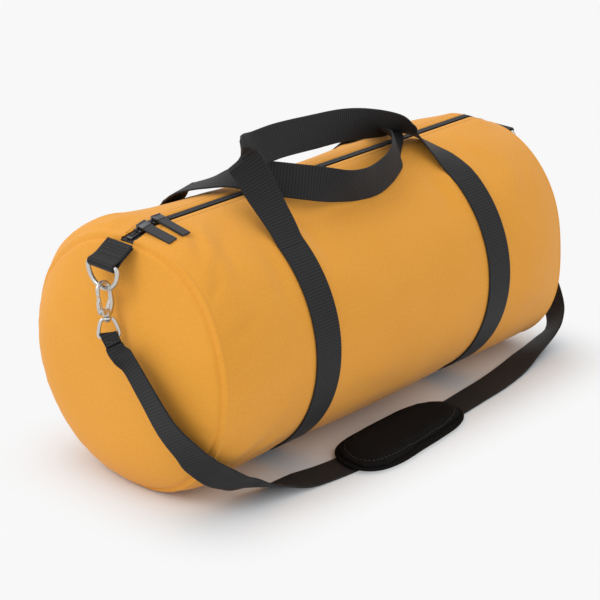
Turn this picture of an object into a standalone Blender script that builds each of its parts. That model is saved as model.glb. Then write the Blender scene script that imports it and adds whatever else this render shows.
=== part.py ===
# Barrel duffel bag with two carry handles, a two-slider zip and a clip-on shoulder strap.
# Metres, +Z up. X runs along the barrel, -Y is the front, the floor is z = 0.
import math

import bmesh
import bpy
from mathutils import Matrix, Vector

# Overall bag
BARREL_RADIUS = 0.1145
BARREL_LENGTH = 0.466
SEAM_DRAW = 0.0065
SHOULDER = 0.0275
END_BULGE = 0.020
END_SAG = 0.0055
FLAT_DEPTH = 0.0016
CLOTH = 0.0022
GAP = 0.0003

# Carry webs and handles
WEB_WIDTH = 0.030
WEB = 0.0016
WEB_SPACING = 0.230
SEWN_ANGLE = 40.7
FOLD_GAP = 0.0014

# Zip
SLOT_WIDTH = 0.014
TAPE_REACH = 0.016
TAPE = 0.0008
CHAIN_WIDTH = 0.0025
CHAIN_HEIGHT = 0.0018
CHAIN_GAP = 0.0012
STOP_LENGTH = 0.0025
STOP_INSET = 0.0030
SLIDER_WIDTH = 0.009
SLIDER_PLATE = 0.0012
SLIDER_CLEAR = 0.0004
SLIDER_POST = 0.0006
SLIDER_SPACING = 0.0155
BRIDGE_WIRE = 0.0008
BRIDGE_LIFT = 0.0023
PULL_WIDTH = 0.0088
PULL_ROOM = 0.0004
PULL_CLOTH = 0.0009
PULL_LENGTH = 0.036
PULL_DROOP = 10.0

# Seam binding inside each end
BINDING = 0.0012
BINDING_DEPTH = 0.010
BINDING_INSET = 0.0008

# Ring tabs and rings
TAB_REACH = 0.0255
TAB_DROP = 0.0145
TAB_ROOM = 0.0012
RING_WIRE = 0.002
RING_ROOM = 0.0005
RING_LIMB = 0.003

# Hooks
HOOK_LEAN = (0.15, 0.30)
HOOK_WIRE = 0.0018
HOOK_MOUTH = 0.0045
HOOK_PLAY = 0.0009
HOOK_NOSE = 0.0034
HOOK_BASE = 0.021
BASE_RISE = 0.0022
BASE_SEAT = 0.0024
BASE_RADIUS = 0.0033
RIVET_RADIUS = 0.0026
RIVET = 0.0012
GATE_WIRE = 0.0011
GATE_PIN = 0.0008
GATE_CHEEK = 0.0012
STEM = 0.0015
STEM_CLEAR = 0.0004
COLLAR = 0.0026
EYE_WIRE = 0.0015
EYE_HALF = 0.0115
EYE_TURN = 45.0
EYE_DROP = 0.0395

# Shoulder strap and pad
STRAP_TAIL = 0.020
STRAP_GAP = 0.0012
STRAP_NECK = 0.018
STRAP_LAID = 0.00095
PAD_LENGTH = 0.156
PAD_WIDTH = 0.067
PAD_THICKNESS = 0.010
PAD_CORNER = 0.026
PAD_CENTRE = (-0.010, -0.110)
PAD_TURN = 4.8
PAD_EDGE = 0.003
PAD_CROWN = 0.0022

# Worked out from the sizes above
AXIS_Z = WEB + GAP + BARREL_RADIUS - FLAT_DEPTH
SEAM_X = BARREL_LENGTH / 2
SEAM_RADIUS = BARREL_RADIUS - SEAM_DRAW
SHOULDER_X = SEAM_X - SHOULDER
LEFT_SLOPE = math.atan2(SEAM_DRAW, SHOULDER)
RIGHT_SLOPE = math.atan2(SEAM_DRAW + END_SAG, SHOULDER)
BRIDGE_SPAN = PULL_WIDTH + 2 * (BRIDGE_WIRE + PULL_ROOM)
SLIDER_LENGTH = BRIDGE_SPAN + 2 * BRIDGE_WIRE
RING_HALF = WEB_WIDTH / 2 + RING_WIRE + RING_ROOM
BAG_MIDDLE = Vector((0, 0, AXIS_Z))
SIDES = {"left": -1, "right": 1}

# The handles' routes: share of half the web spacing, degrees from the top (front is minus),
# height over the cloth in millimetres, then the direction from the first edge to the second.
# They were drawn for webbing of ROUTE_WIDTH. Wider webbing lies higher over the cloth.
ROUTE_WIDTH = 0.030
FRONT_ROUTE = [
    (-1.00, -36.5, 1.8, (1, 0, 0)),
    (-1.00, -31.0, 5.5, (1, -0.1, 0)),
    (-1.01, -21.1, 13.5, (0.87, -0.45, -0.05)),
    (-1.01, -14.1, 25, (0.82, -0.45, -0.3)),
    (-0.99, -10.2, 37.5, (0.75, -0.3, -0.55)),
    (-0.93, -9.0, 47, (0.5, -0.35, -0.8)),
    (-0.77, -8.5, 47.5, (0.1, -0.6, -0.75)),
    (-0.43, -6.6, 42, (0, -0.66, -0.75)),
    (0.00, -3.8, 37, (-0.1, -0.66, -0.75)),
    (0.42, -2.0, 33.5, (-0.4, -0.66, -0.5)),
    (0.71, -3.4, 26, (-0.65, -0.6, -0.3)),
    (0.89, -8.2, 14.5, (-0.85, -0.45, -0.1)),
    (0.975, -15.0, 7, (-0.95, -0.2, 0)),
    (1.00, -23.2, 3.2, (-1, 0, 0)),
    (1.00, -32.5, 1.6, (-1, 0, 0)),
]
REAR_ROUTE = [
    (-1.00, 36.5, 1.8, (1, 0, 0)),
    (-1.02, 31.0, 4.5, (1, 0.1, 0)),
    (-1.05, 23.6, 6.5, (0.85, 0.45, -0.1)),
    (-0.98, 12.4, 8.0, (0.75, 0.6, -0.05)),
    (-0.87, 1.8, 15.5, (0.65, 0.6, 0.25)),
    (-0.78, -7.7, 19.5, (0.35, 0.5, 0.75)),
    (-0.61, -18.6, 20.5, (0, 0.6, 0.8)),
    (-0.23, -25.8, 16.5, (0, 0.6, 0.8)),
    (0.05, -26.9, 14.5, (0, 0.55, 0.85)),
    (0.26, -24.8, 14.2, (-0.2, 0.35, 0.88)),
    (0.44, -19.2, 13.2, (-0.6, -0.05, 0.64)),
    (0.58, -12.3, 12.5, (-0.85, -0.35, 0.2)),
    (0.73, -2.6, 12, (-0.97, -0.4, 0.06)),
    (0.88, 8.6, 8.5, (-1, -0.3, 0)),
    (0.965, 19.5, 5.5, (-1, -0.1, 0)),
    (1.00, 31.5, 2.6, (-1, 0, 0)),
]
# The shoulder strap's routes from each hook to the middle of the pad, in millimetres,
# each with the direction across the strap.
STRAP_LEFT = [
    ((-269, -36, 112), (0.7, -0.55, 0.5)),
    ((-265, -53, 86), (0.5, -0.5, 0.7)),
    ((-255, -74, 60), (0.3, -0.4, 0.85)),
    ((-237, -93, 39), (0.05, -0.2, 1)),
    ((-211, -97, 23), (0, 0.05, 1)),
    ((-187, -97, 14.8), (0.2, 0.4, 0.88)),
    ((-160, -98, 6.2), (0.42, 0.85, 0.3)),
    ((-131, -105, 1.6), (0.3, 0.95, 0.02)),
    ((-98, -112, 0.9), (0.1, 1, 0)),
    ((-55, -113, 0.9), (0, 1, 0)),
    ((-11, -110, 0.9), (-0.07, 1, 0)),
]
STRAP_RIGHT = [
    ((269, -30, 99), (-0.45, -0.75, 0.5)),
    ((271, -45, 72), (-0.15, -0.85, 0.5)),
    ((271, -59, 48), (0, -0.8, 0.6)),
    ((268, -70, 27), (-0.1, -0.72, 0.67)),
    ((258, -76, 13.5), (-0.35, -0.7, 0.6)),
    ((242, -75, 7.5), (-0.5, -0.75, 0.35)),
    ((212, -81, 2.6), (-0.3, -0.93, 0.1)),
    ((176, -90, 0.9), (-0.22, -0.97, 0)),
    ((138, -97, 0.9), (-0.15, -0.98, 0)),
    ((98, -101, 0.9), (-0.1, -1, 0)),
    ((55, -105, 0.9), (-0.08, -1, 0)),
    ((22, -107.5, 0.9), (-0.08, -1, 0)),
    ((-9, -110, 0.9), (-0.08, -1, 0)),
]


# Scene and materials

def clear_scene():
    for obj in list(bpy.data.objects):
        bpy.data.objects.remove(obj, do_unlink=True)


def finish(name, colour, roughness, metallic=0.0):
    material = bpy.data.materials.new(name)
    material.use_nodes = True
    shader = material.node_tree.nodes["Principled BSDF"]
    shader.inputs["Base Color"].default_value = (*colour, 1)
    shader.inputs["Roughness"].default_value = roughness
    shader.inputs["Metallic"].default_value = metallic
    material.diffuse_color = (*colour, 1)
    return material


def make_finishes():
    return {
        "cloth": finish("orange_polyester", (0.72, 0.31, 0.05), 0.8),
        "web": finish("black_webbing", (0.03, 0.03, 0.03), 0.85),
        "tape": finish("zip_tape", (0.025, 0.025, 0.025), 0.9),
        "coil": finish("zip_coil", (0.03, 0.03, 0.03), 0.5),
        "slider": finish("zip_slider", (0.12, 0.12, 0.12), 0.4, 1.0),
        "nickel": finish("nickel_plate", (0.75, 0.75, 0.75), 0.22, 1.0),
        "binding": finish("seam_binding", (0.03, 0.03, 0.03), 0.9),
        "pad": finish("pad_cover", (0.012, 0.012, 0.012), 0.85),
    }


# Mesh helpers

def add_object(name, data, material, origin=(0, 0, 0)):
    obj = bpy.data.objects.new(name, data)
    obj.location = origin
    bpy.context.scene.collection.objects.link(obj)
    obj.data.materials.append(material)
    return obj


def mesh_object(name, bm, material, origin=(0, 0, 0)):
    bmesh.ops.translate(bm, verts=bm.verts, vec=-Vector(origin))
    mesh = bpy.data.meshes.new(name)
    bm.to_mesh(mesh)
    bm.free()
    mesh.shade_smooth()
    mesh.set_sharp_from_angle(angle=math.radians(35))
    return add_object(name, mesh, material, origin)


def face_rows(bm, rows, closed):
    count = len(rows[0])
    for low, high in zip(rows, rows[1:]):
        for j in range(count if closed else count - 1):
            k = (j + 1) % count
            bm.faces.new((low[j], low[k], high[k], high[j]))


def sheet(name, rows, thickness, offset, material, away_from=None, closed=False,
          cap=False, origin=(0, 0, 0), even=True):
    """A sheet of cloth, web or tape: rows of points, thickened by a Solidify modifier."""
    bm = bmesh.new()
    grid = [[bm.verts.new(p) for p in row] for row in rows]
    face_rows(bm, grid, closed)
    if cap:
        bm.faces.new(grid[-1])
        bmesh.ops.recalc_face_normals(bm, faces=bm.faces)
    bm.normal_update()
    if away_from is not None:
        facing = sum(f.normal.dot(f.calc_center_median() - away_from) for f in bm.faces)
        if facing < 0:
            bmesh.ops.reverse_faces(bm, faces=bm.faces)
    obj = mesh_object(name, bm, material, origin)
    solid = obj.modifiers.new("thickness", "SOLIDIFY")
    solid.thickness = thickness
    solid.offset = offset
    solid.use_even_offset = even
    return obj


def lofted(name, rings, material, origin=(0, 0, 0), ring_closed=False):
    """A closed body lofted through rings of points, capped unless the rings come round."""
    bm = bmesh.new()
    grid = [[bm.verts.new(p) for p in ring] for ring in rings]
    if ring_closed:
        grid.append(grid[0])
    face_rows(bm, grid, True)
    if not ring_closed:
        bm.faces.new(grid[0])
        bm.faces.new(grid[-1])
    bmesh.ops.recalc_face_normals(bm, faces=bm.faces)
    return mesh_object(name, bm, material, origin)


def prism(name, outline, place, length, material, origin=(0, 0, 0)):
    """A closed outline in the place's Y and Z, drawn along its X over the length."""
    rings = [[place @ Vector((x, y, z)) for y, z in outline] for x in (-length / 2, length / 2)]
    return lofted(name, rings, material, origin)


def turned(name, profile, place, material, sides=16, closed=False, origin=(0, 0, 0)):
    """A profile of (radius, height) points turned about the place's Z axis."""
    rings = []
    for radius, height in profile:
        ring = []
        for i in range(sides):
            turn = 2 * math.pi * i / sides
            ring.append(place @ Vector((radius * math.cos(turn), radius * math.sin(turn), height)))
        rings.append(ring)
    return lofted(name, rings, material, origin, ring_closed=closed)


def wire(name, points, radius, material, cyclic=False, radii=None, origin=(0, 0, 0)):
    """A round wire along the points, as a bevelled curve."""
    curve = bpy.data.curves.new(name, "CURVE")
    curve.dimensions = "3D"
    curve.bevel_depth = radius
    curve.bevel_resolution = 2
    curve.use_fill_caps = True
    spline = curve.splines.new("POLY")
    spline.points.add(len(points) - 1)
    for i, (target, point) in enumerate(zip(spline.points, points)):
        target.co = (*(Vector(point) - Vector(origin)), 1)
        target.radius = radii[i] if radii else 1
    spline.use_cyclic_u = cyclic
    return add_object(name, curve, material, origin)


def cutter(obj):
    obj.hide_render = True
    obj.display_type = "WIRE"
    return obj


def boolean(obj, other, operation):
    modifier = obj.modifiers.new(operation.lower(), "BOOLEAN")
    modifier.operation = operation
    modifier.object = cutter(other)
    modifier.solver = "EXACT"


def to_mesh_object(obj):
    """A curve object remade as a mesh object, so that it can take Boolean modifiers."""
    graph = bpy.context.evaluated_depsgraph_get()
    mesh = bpy.data.meshes.new_from_object(obj.evaluated_get(graph))
    name = obj.name
    location = obj.location.copy()
    bpy.data.objects.remove(obj, do_unlink=True)
    made = bpy.data.objects.new(name, mesh)
    made.location = location
    bpy.context.scene.collection.objects.link(made)
    return made


# Smooth curves through hand-chosen points

def spline_point(a, b, c, d, t):
    return 0.5 * (2 * b + (c - a) * t + (2 * a - 5 * b + 4 * c - d) * t * t
                  + (3 * b - a - 3 * c + d) * t ** 3)


def smooth_through(points, steps):
    ends = [2 * points[0] - points[1], *points, 2 * points[-1] - points[-2]]
    result = []
    for i in range(1, len(ends) - 2):
        for k in range(steps):
            result.append(spline_point(*ends[i - 1:i + 3], k / steps))
    result.append(points[-1])
    return result


def ribbon_rows(centres, across, widths, steps):
    """Pairs of edge points for a flat band that turns as it goes."""
    path = smooth_through(centres, steps)
    turn = smooth_through(across, steps)
    spread = smooth_through(widths, steps)
    rows = []
    for i, point in enumerate(path):
        along = (path[min(i + 1, len(path) - 1)] - path[max(i - 1, 0)]).normalized()
        side = turn[i] - along * turn[i].dot(along)
        side = side.normalized() * spread[i] / 2
        rows.append((point - side, point + side))
    return rows


# The barrel's own shape

def barrel_radius(x):
    past = max(0.0, abs(x) - SHOULDER_X) / SHOULDER
    return BARREL_RADIUS - past * SEAM_DRAW


def sag(x):
    """How far the right end has slumped at this place along the barrel."""
    return END_SAG * min(1.0, max(0.0, x - SHOULDER_X) / SHOULDER)


def slope(x):
    """How steeply the top of the barrel falls towards each seam."""
    if abs(x) <= SHOULDER_X:
        return 0.0
    return RIGHT_SLOPE if x > 0 else LEFT_SLOPE


def lean(x):
    return math.cos(slope(x))


def flat_height(x):
    """The height of the flat underside, which rises to the seam at each end."""
    low = WEB + GAP
    past = max(0.0, abs(x) - SHOULDER_X) / SHOULDER
    return low + past * (AXIS_Z - SEAM_RADIUS - low) - sag(x)


def round_point(x, degrees, radius, floor=None):
    turn = math.radians(degrees)
    z = AXIS_Z - sag(x) + radius * math.cos(turn)
    if floor is not None:
        z = max(z, floor)
    return Vector((x, radius * math.sin(turn), z))


def spread(start, end, count):
    return [start + (end - start) * i / count for i in range(count + 1)]


def angle_at(width, radius):
    return math.degrees(math.asin(width / radius))


def barrel_stations():
    inner = spread(-SHOULDER_X, SHOULDER_X, 6)
    return [-SEAM_X, *inner, SEAM_X]


def make_barrel(finishes):
    rows = []
    for x in barrel_stations():
        radius = barrel_radius(x)
        edge = angle_at(SLOT_WIDTH / 2, radius)
        rows.append([round_point(x, a, radius, flat_height(x)) for a in spread(edge, 360 - edge, 54)])
    sheet("barrel_panel", rows, CLOTH, -1, finishes["cloth"], BAG_MIDDLE)


def make_end_panel(side, sign, finishes):
    rows = []
    for share in (1, 0.9, 0.75, 0.55, 0.32, 0.12):
        x = sign * (SEAM_X + GAP + END_BULGE * (1 - share ** 2))
        rows.append([round_point(x, 7.5 * i, SEAM_RADIUS * share) for i in range(48)])
    sheet("end_panel_" + side, rows, CLOTH, 1, finishes["cloth"], BAG_MIDDLE, closed=True, cap=True)


def make_seam_binding(side, sign, finishes):
    outer = SEAM_X - BINDING_INSET
    rows = []
    for x in (outer, outer - BINDING_DEPTH):
        drop = (CLOTH + 2 * GAP) / lean(sign * x)
        radius = barrel_radius(x) - drop
        edge = angle_at(TAPE_REACH + 2 * GAP, radius)
        floor = flat_height(sign * x) + drop
        rows.append([round_point(sign * x, a, radius, floor) for a in spread(edge, 360 - edge, 48)])
    sheet("seam_binding_" + side, rows, BINDING, -1, finishes["binding"], BAG_MIDDLE)


# Zip

def zip_stations(left, right):
    """From end to end, with a last station just past the right shoulder, where the fall is steep."""
    past = SHOULDER_X + 0.01 * GAP
    return [left, -SHOULDER_X, 0, SHOULDER_X - 4 * CLOTH * math.tan(RIGHT_SLOPE / 2), past, right]


def tape_stations():
    end = SEAM_X - 2 * GAP
    return zip_stations(-end, end)


def zip_stop_middle():
    return SEAM_X - STOP_INSET - STOP_LENGTH / 2


def chain_stations():
    end = zip_stop_middle() - STOP_LENGTH / 2 - GAP
    left = -end + CLOTH * math.sin(LEFT_SLOPE)
    right = end - CLOTH * math.sin(RIGHT_SLOPE)
    return zip_stations(left, right)


def zip_rows(stations, sign, near, far, drop):
    rows = []
    for x in stations:
        radius = barrel_radius(x) - drop / lean(x)
        angles = spread(angle_at(near, radius), angle_at(far, radius), 2)
        rows.append([round_point(x, sign * a, radius) for a in angles])
    return rows


def make_zip_half(half, sign, finishes):
    near = CHAIN_GAP / 2
    tape = zip_rows(tape_stations(), sign, near, TAPE_REACH, CLOTH + GAP)
    sheet("zip_tape_" + half, tape, TAPE, -1, finishes["tape"], BAG_MIDDLE)
    chain = zip_rows(chain_stations(), sign, near, near + CHAIN_WIDTH, CLOTH)
    sheet("zip_chain_" + half, chain, CHAIN_HEIGHT, 1, finishes["coil"], BAG_MIDDLE)


def zip_place(x):
    """A frame on the zip line: X along it, Z out of the cloth, origin on the outer surface."""
    tilt = math.copysign(slope(x), x)
    return Matrix.Translation(round_point(x, 0, barrel_radius(x))) @ Matrix.Rotation(tilt, 4, "Y")


def make_zip_stop(side, sign, finishes):
    place = zip_place(sign * zip_stop_middle())
    half = CHAIN_GAP / 2 + CHAIN_WIDTH
    low = -CLOTH
    top = low + CHAIN_HEIGHT
    outline = [(-half, low), (half, low), (half, top), (-half, top)]
    prism("zip_stop_" + side, outline, place, STOP_LENGTH, finishes["slider"])


def slider_x(side):
    right = -SHOULDER_X + SLIDER_LENGTH / 2 + GAP
    return right if side == "right" else right - SLIDER_SPACING


def pull_axis(side):
    place = zip_place(slider_x(side))
    return place @ Vector((0, 0, SLIDER_PLATE + BRIDGE_LIFT)), place.to_3x3()


def make_slider(side, finishes):
    place = zip_place(slider_x(side))
    half = SLIDER_WIDTH / 2
    post = SLIDER_POST / 2
    over = -CLOTH + CHAIN_HEIGHT + SLIDER_CLEAR
    under = -CLOTH - GAP - TAPE - SLIDER_CLEAR
    top = over + SLIDER_PLATE
    bottom = under - SLIDER_PLATE
    outline = [(-half, bottom), (half, bottom), (half, under), (post, under), (post, over),
               (half, over), (half, top), (-half, top), (-half, over), (-post, over),
               (-post, under), (-half, under)]
    origin = place @ Vector((0, 0, 0))
    prism("slider_" + side, outline, place, SLIDER_LENGTH, finishes["slider"], origin)
    foot = top + GAP
    bar = SLIDER_PLATE + BRIDGE_LIFT
    reach = BRIDGE_SPAN / 2
    arch = [(-reach, foot), (-reach, bar), (reach, bar), (reach, foot)]
    points = [place @ Vector((x, 0, z)) for x, z in arch]
    wire("slider_bridge_" + side, points, BRIDGE_WIRE, finishes["slider"], origin=origin)


def loop_section(inner, cloth, length, layer):
    """A folded loop seen from the side: two layers from the far end, round a bar at the origin."""
    radius = inner + cloth / 2
    section = [(length, layer), (2.6 * radius, layer)]
    for i in range(9):
        turn = math.radians(90 + 22.5 * i)
        section.append((radius * math.cos(turn), radius * math.sin(turn)))
    section += [(2.6 * radius, -layer), (length, -layer)]
    return section


def make_pull_tab(side, finishes):
    axis, turn = pull_axis(side)
    droop = math.radians(PULL_DROOP)
    outward = turn @ Vector((0, -math.cos(droop), -math.sin(droop)))
    upward = turn @ Vector((0, -math.sin(droop), math.cos(droop)))
    along = turn @ Vector((1, 0, 0))
    half = PULL_WIDTH / 2
    section = loop_section(BRIDGE_WIRE + GAP, PULL_CLOTH, PULL_LENGTH, PULL_CLOTH / 2 + GAP / 2)
    rows = []
    for out, up in section:
        point = axis + outward * out + upward * up
        rows.append((point - along * half, point + along * half))
    sheet("pull_tab_" + side, rows, PULL_CLOTH, 0, finishes["web"], origin=axis)


# Webs and handles

def make_web(side, sign, finishes):
    middle = sign * WEB_SPACING / 2
    radius = BARREL_RADIUS + GAP
    edges = (middle - WEB_WIDTH / 2, middle + WEB_WIDTH / 2)
    angles = spread(SEWN_ANGLE, 360 - SEWN_ANGLE, 44)
    rows = [[round_point(x, a, radius, WEB) for x in edges] for a in angles]
    sheet("web_" + side, rows, WEB, 1, finishes["web"], BAG_MIDDLE)


def web_middle_radius():
    return BARREL_RADIUS + GAP + WEB / 2


def handle_axis(front):
    turn = SEWN_ANGLE - math.degrees(FOLD_GAP / web_middle_radius())
    return round_point(0, -turn if front else turn, web_middle_radius())


def make_handle(name, route, front, finishes):
    axis = handle_axis(front)
    half = WEB_SPACING / 2
    extra = (WEB_WIDTH - ROUTE_WIDTH) * (1.0 if front else 0.5)
    first = Vector((-half, axis.y, axis.z))
    last = Vector((half, axis.y, axis.z))
    centres = [first]
    across = [Vector((1, 0, 0))]
    for share, degrees, lift, direction in route:
        centres.append(round_point(share * half, degrees, BARREL_RADIUS + extra + lift / 1000))
        across.append(Vector(direction).normalized())
    centres.append(last)
    across.append(Vector((-1, 0, 0)))
    rows = ribbon_rows(centres, across, [WEB_WIDTH] * len(centres), 3)
    sheet(name, rows, WEB, 0, finishes["web"], origin=axis, even=False)


# Rings, hooks and the shoulder strap

def ring_axis(sign):
    return round_point(sign * (SEAM_X + TAB_REACH), 0, SEAM_RADIUS - TAB_DROP)


def make_ring_tab(side, sign, finishes):
    bar = ring_axis(sign)
    root = round_point(sign * (SEAM_X + CLOTH + WEB + TAB_ROOM), 0, SEAM_RADIUS - WEB)
    inward = (root - bar).normalized()
    upward = Vector((0, 1, 0)).cross(inward) * sign
    length = (root - bar).length
    half = WEB_WIDTH / 2
    section = loop_section(RING_WIRE + GAP, WEB, length, WEB / 2 + GAP)
    rows = []
    for back, up in section:
        point = bar + inward * back + upward * up
        rows.append((point - Vector((0, half, 0)), point + Vector((0, half, 0))))
    sheet("ring_tab_" + side, rows, WEB, 0, finishes["web"], even=False)


def make_ring(side, sign, finishes):
    bar = ring_axis(sign)
    points = [bar + Vector((0, RING_HALF * share, 0)) for share in (-0.98, -0.5, 0, 0.5, 0.98)]
    points.append(bar + Vector((0, RING_HALF, -0.1 * RING_LIMB)))
    for i in range(19):
        turn = math.radians(10 * i)
        drop = RING_LIMB + RING_HALF * math.sin(turn)
        points.append(bar + Vector((0, RING_HALF * math.cos(turn), -drop)))
    points.append(bar + Vector((0, -RING_HALF, -0.1 * RING_LIMB)))
    wire("d_ring_" + side, points, RING_WIRE, finishes["nickel"], cyclic=True, origin=bar)


def hook_place(sign):
    """The hook's frame: X across its mouth towards the bag, Z down the hook, origin in the ring."""
    out, front = HOOK_LEAN
    down = Vector((sign * out, -front, -1)).normalized()
    inward = Vector((-sign, 0, 0))
    inward = (inward - down * inward.dot(down)).normalized()
    across = down.cross(inward)
    place = Matrix((inward, across, down)).transposed().to_4x4()
    origin = ring_axis(sign) - Vector((0, 0, RING_LIMB + RING_HALF))
    return Matrix.Translation(origin) @ place


def hook_bow_radius():
    return HOOK_MOUTH + HOOK_WIRE


def hook_bow_middle():
    return HOOK_MOUTH - RING_WIRE - HOOK_PLAY


def gate_pivot():
    return Vector((-0.85 * hook_bow_radius(), 0, HOOK_BASE - BASE_RISE))


def make_hook(side, sign, finishes):
    place = hook_place(sign)
    origin = place.translation
    reach = hook_bow_radius()
    middle = hook_bow_middle()
    path = [(-reach, middle + HOOK_NOSE), (-reach, middle + HOOK_NOSE / 3)]
    sizes = [0.85, 1.0]
    for i in range(9):
        turn = math.radians(180 - 22.5 * i)
        path.append((reach * math.cos(turn), middle - reach * math.sin(turn)))
        sizes.append(1.0)
    path += [(reach, 0.55 * HOOK_BASE), (0.72 * reach, 0.8 * HOOK_BASE), (0.25 * reach, HOOK_BASE)]
    sizes += [1.15, 1.45, 1.6]
    points = [place @ Vector((x, 0, z)) for x, z in path]
    hook = wire("hook_" + side, points, HOOK_WIRE, finishes["nickel"], radii=sizes, origin=origin)
    hook = to_mesh_object(hook)
    seat = HOOK_BASE + BASE_SEAT
    low = seat + COLLAR + 2 * STEM_CLEAR
    stem_profile = [(0.7 * BASE_RADIUS, HOOK_BASE - BASE_RISE), (BASE_RADIUS, HOOK_BASE - BASE_RISE / 2),
                    (BASE_RADIUS, seat), (STEM, seat), (STEM, low), (RIVET_RADIUS, low),
                    (RIVET_RADIUS, low + RIVET)]
    stem = turned("hook_stem_" + side, stem_profile, place, finishes["nickel"], origin=origin)
    boolean(hook, stem, "UNION")
    pivot = gate_pivot()
    for cheek_sign in (-1, 1):
        inner = GATE_CHEEK + 2 * GAP
        middle_y = cheek_sign * (inner + GATE_CHEEK / 2)
        left = pivot.x - 2.1 * GATE_PIN
        right = 0.25 * reach
        top = pivot.z - 2.1 * GATE_PIN
        bottom = HOOK_BASE + BASE_SEAT / 2
        rings = []
        for y in (middle_y - GATE_CHEEK / 2, middle_y + GATE_CHEEK / 2):
            corners = [(left, top), (right, top), (right, bottom), (left + GATE_PIN, bottom),
                       (left, pivot.z + GATE_PIN)]
            rings.append([place @ Vector((x, y, z)) for x, z in corners])
        cheek = lofted("hook_cheek_%s_%d" % (side, cheek_sign), rings, finishes["nickel"], origin)
        boolean(hook, cheek, "UNION")
    through = 5 * GATE_CHEEK
    bore = turned("hook_bore_" + side, [(GATE_PIN + GAP, -through), (GATE_PIN + GAP, through)],
                  place @ pivot_frame(), finishes["nickel"], sides=12, origin=origin)
    boolean(hook, bore, "DIFFERENCE")


def pivot_frame():
    return Matrix.Translation(gate_pivot()) @ Matrix.Rotation(math.radians(90), 4, "X")


def make_gate(side, sign, finishes):
    place = hook_place(sign)
    pivot = gate_pivot()
    origin = place @ pivot
    tip_height = hook_bow_middle() + HOOK_NOSE + 0.9 * HOOK_WIRE + GAP
    tip = Vector((-hook_bow_radius(), 0, tip_height))
    points = [place @ tip.lerp(pivot, t) for t in (0, 0.35, 0.7, 0.98)]
    gate = wire("gate_" + side, points, GATE_WIRE, finishes["nickel"],
                radii=[0.9, 1.0, 1.0, 0.9], origin=origin)
    gate = to_mesh_object(gate)
    eye = turned("gate_eye_" + side, [(2.0 * GATE_PIN, -GATE_CHEEK), (2.0 * GATE_PIN, GATE_CHEEK)],
                 place @ pivot_frame(), finishes["nickel"], origin=origin)
    boolean(gate, eye, "UNION")
    through = 3 * GATE_CHEEK
    bore = turned("gate_bore_" + side, [(GATE_PIN + GAP, -through), (GATE_PIN + GAP, through)],
                  place @ pivot_frame(), finishes["nickel"], sides=12, origin=origin)
    boolean(gate, bore, "DIFFERENCE")
    pin_half = 2 * GATE_CHEEK + 2 * GAP
    turned("gate_pin_" + side, [(GATE_PIN, -pin_half), (GATE_PIN, pin_half)],
           place @ pivot_frame(), finishes["nickel"], sides=12, origin=origin)


def eye_place(sign):
    return hook_place(sign) @ Matrix.Rotation(-sign * math.radians(EYE_TURN), 4, "Z")


def make_eye(side, sign, finishes):
    place = eye_place(sign)
    origin = hook_place(sign).translation
    top = HOOK_BASE + BASE_SEAT + STEM_CLEAR
    bore = STEM + STEM_CLEAR
    outer = bore + 1.4 * EYE_WIRE
    collar_profile = [(bore, top), (outer, top), (outer, top + COLLAR), (bore, top + COLLAR)]
    eye = turned("swivel_eye_" + side, collar_profile, place, finishes["nickel"], closed=True,
                 origin=origin)
    start = (bore + outer) / 2 + 0.2 * EYE_WIRE
    middle = top + COLLAR / 2
    fall = EYE_DROP - middle
    half = [(start, middle), (0.62 * EYE_HALF, middle + 0.17 * fall),
            (0.93 * EYE_HALF, middle + 0.48 * fall), (EYE_HALF, EYE_DROP - 0.17 * fall),
            (0.93 * EYE_HALF, EYE_DROP - 0.03 * fall), (0.78 * EYE_HALF, EYE_DROP)]
    path = half + [(-x, z) for x, z in reversed(half)]
    points = [place @ Vector((x, 0, z)) for x, z in path]
    loop = wire("eye_loop_" + side, points, EYE_WIRE, finishes["nickel"], origin=origin)
    boolean(eye, to_mesh_object(loop), "UNION")


def make_strap_end(side, sign, finishes):
    place = eye_place(sign)
    bar = place @ Vector((0, 0, EYE_DROP))
    turn = place.to_3x3()
    along = turn @ Vector((0, 0, 1))
    out = turn @ Vector((0, 1, 0))
    width = turn @ Vector((1, 0, 0))
    half = 0.74 * EYE_HALF
    section = loop_section(EYE_WIRE + GAP, WEB, STRAP_TAIL, WEB / 2 + GAP)
    rows = []
    for down, up in section:
        point = bar + along * down + out * up
        rows.append((point - width * half, point + width * half))
    sheet("strap_end_" + side, rows, WEB, 0, finishes["web"], origin=ring_axis(sign), even=False)


def make_strap(side, sign, route, finishes):
    place = eye_place(sign)
    start = EYE_DROP + STRAP_TAIL + STRAP_GAP
    width = place.to_3x3() @ Vector((1, 0, 0))
    first_across = Vector(route[0][1])
    if width.dot(first_across) < 0:
        width = -width
    centres = [place @ Vector((0, 0, start + run)) for run in (0, STRAP_NECK / 2)]
    across = [width, width]
    widths = [STRAP_NECK, STRAP_NECK]
    for point, direction in route:
        centres.append(Vector(point) / 1000)
        across.append(Vector(direction).normalized())
        widths.append(WEB_WIDTH)
    rows = ribbon_rows(centres, across, widths, 4)
    for edge in sum(rows, ()):
        edge.z = max(edge.z, STRAP_LAID)
    sheet("shoulder_strap_" + side, rows, WEB, 0, finishes["web"], even=False)


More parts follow.
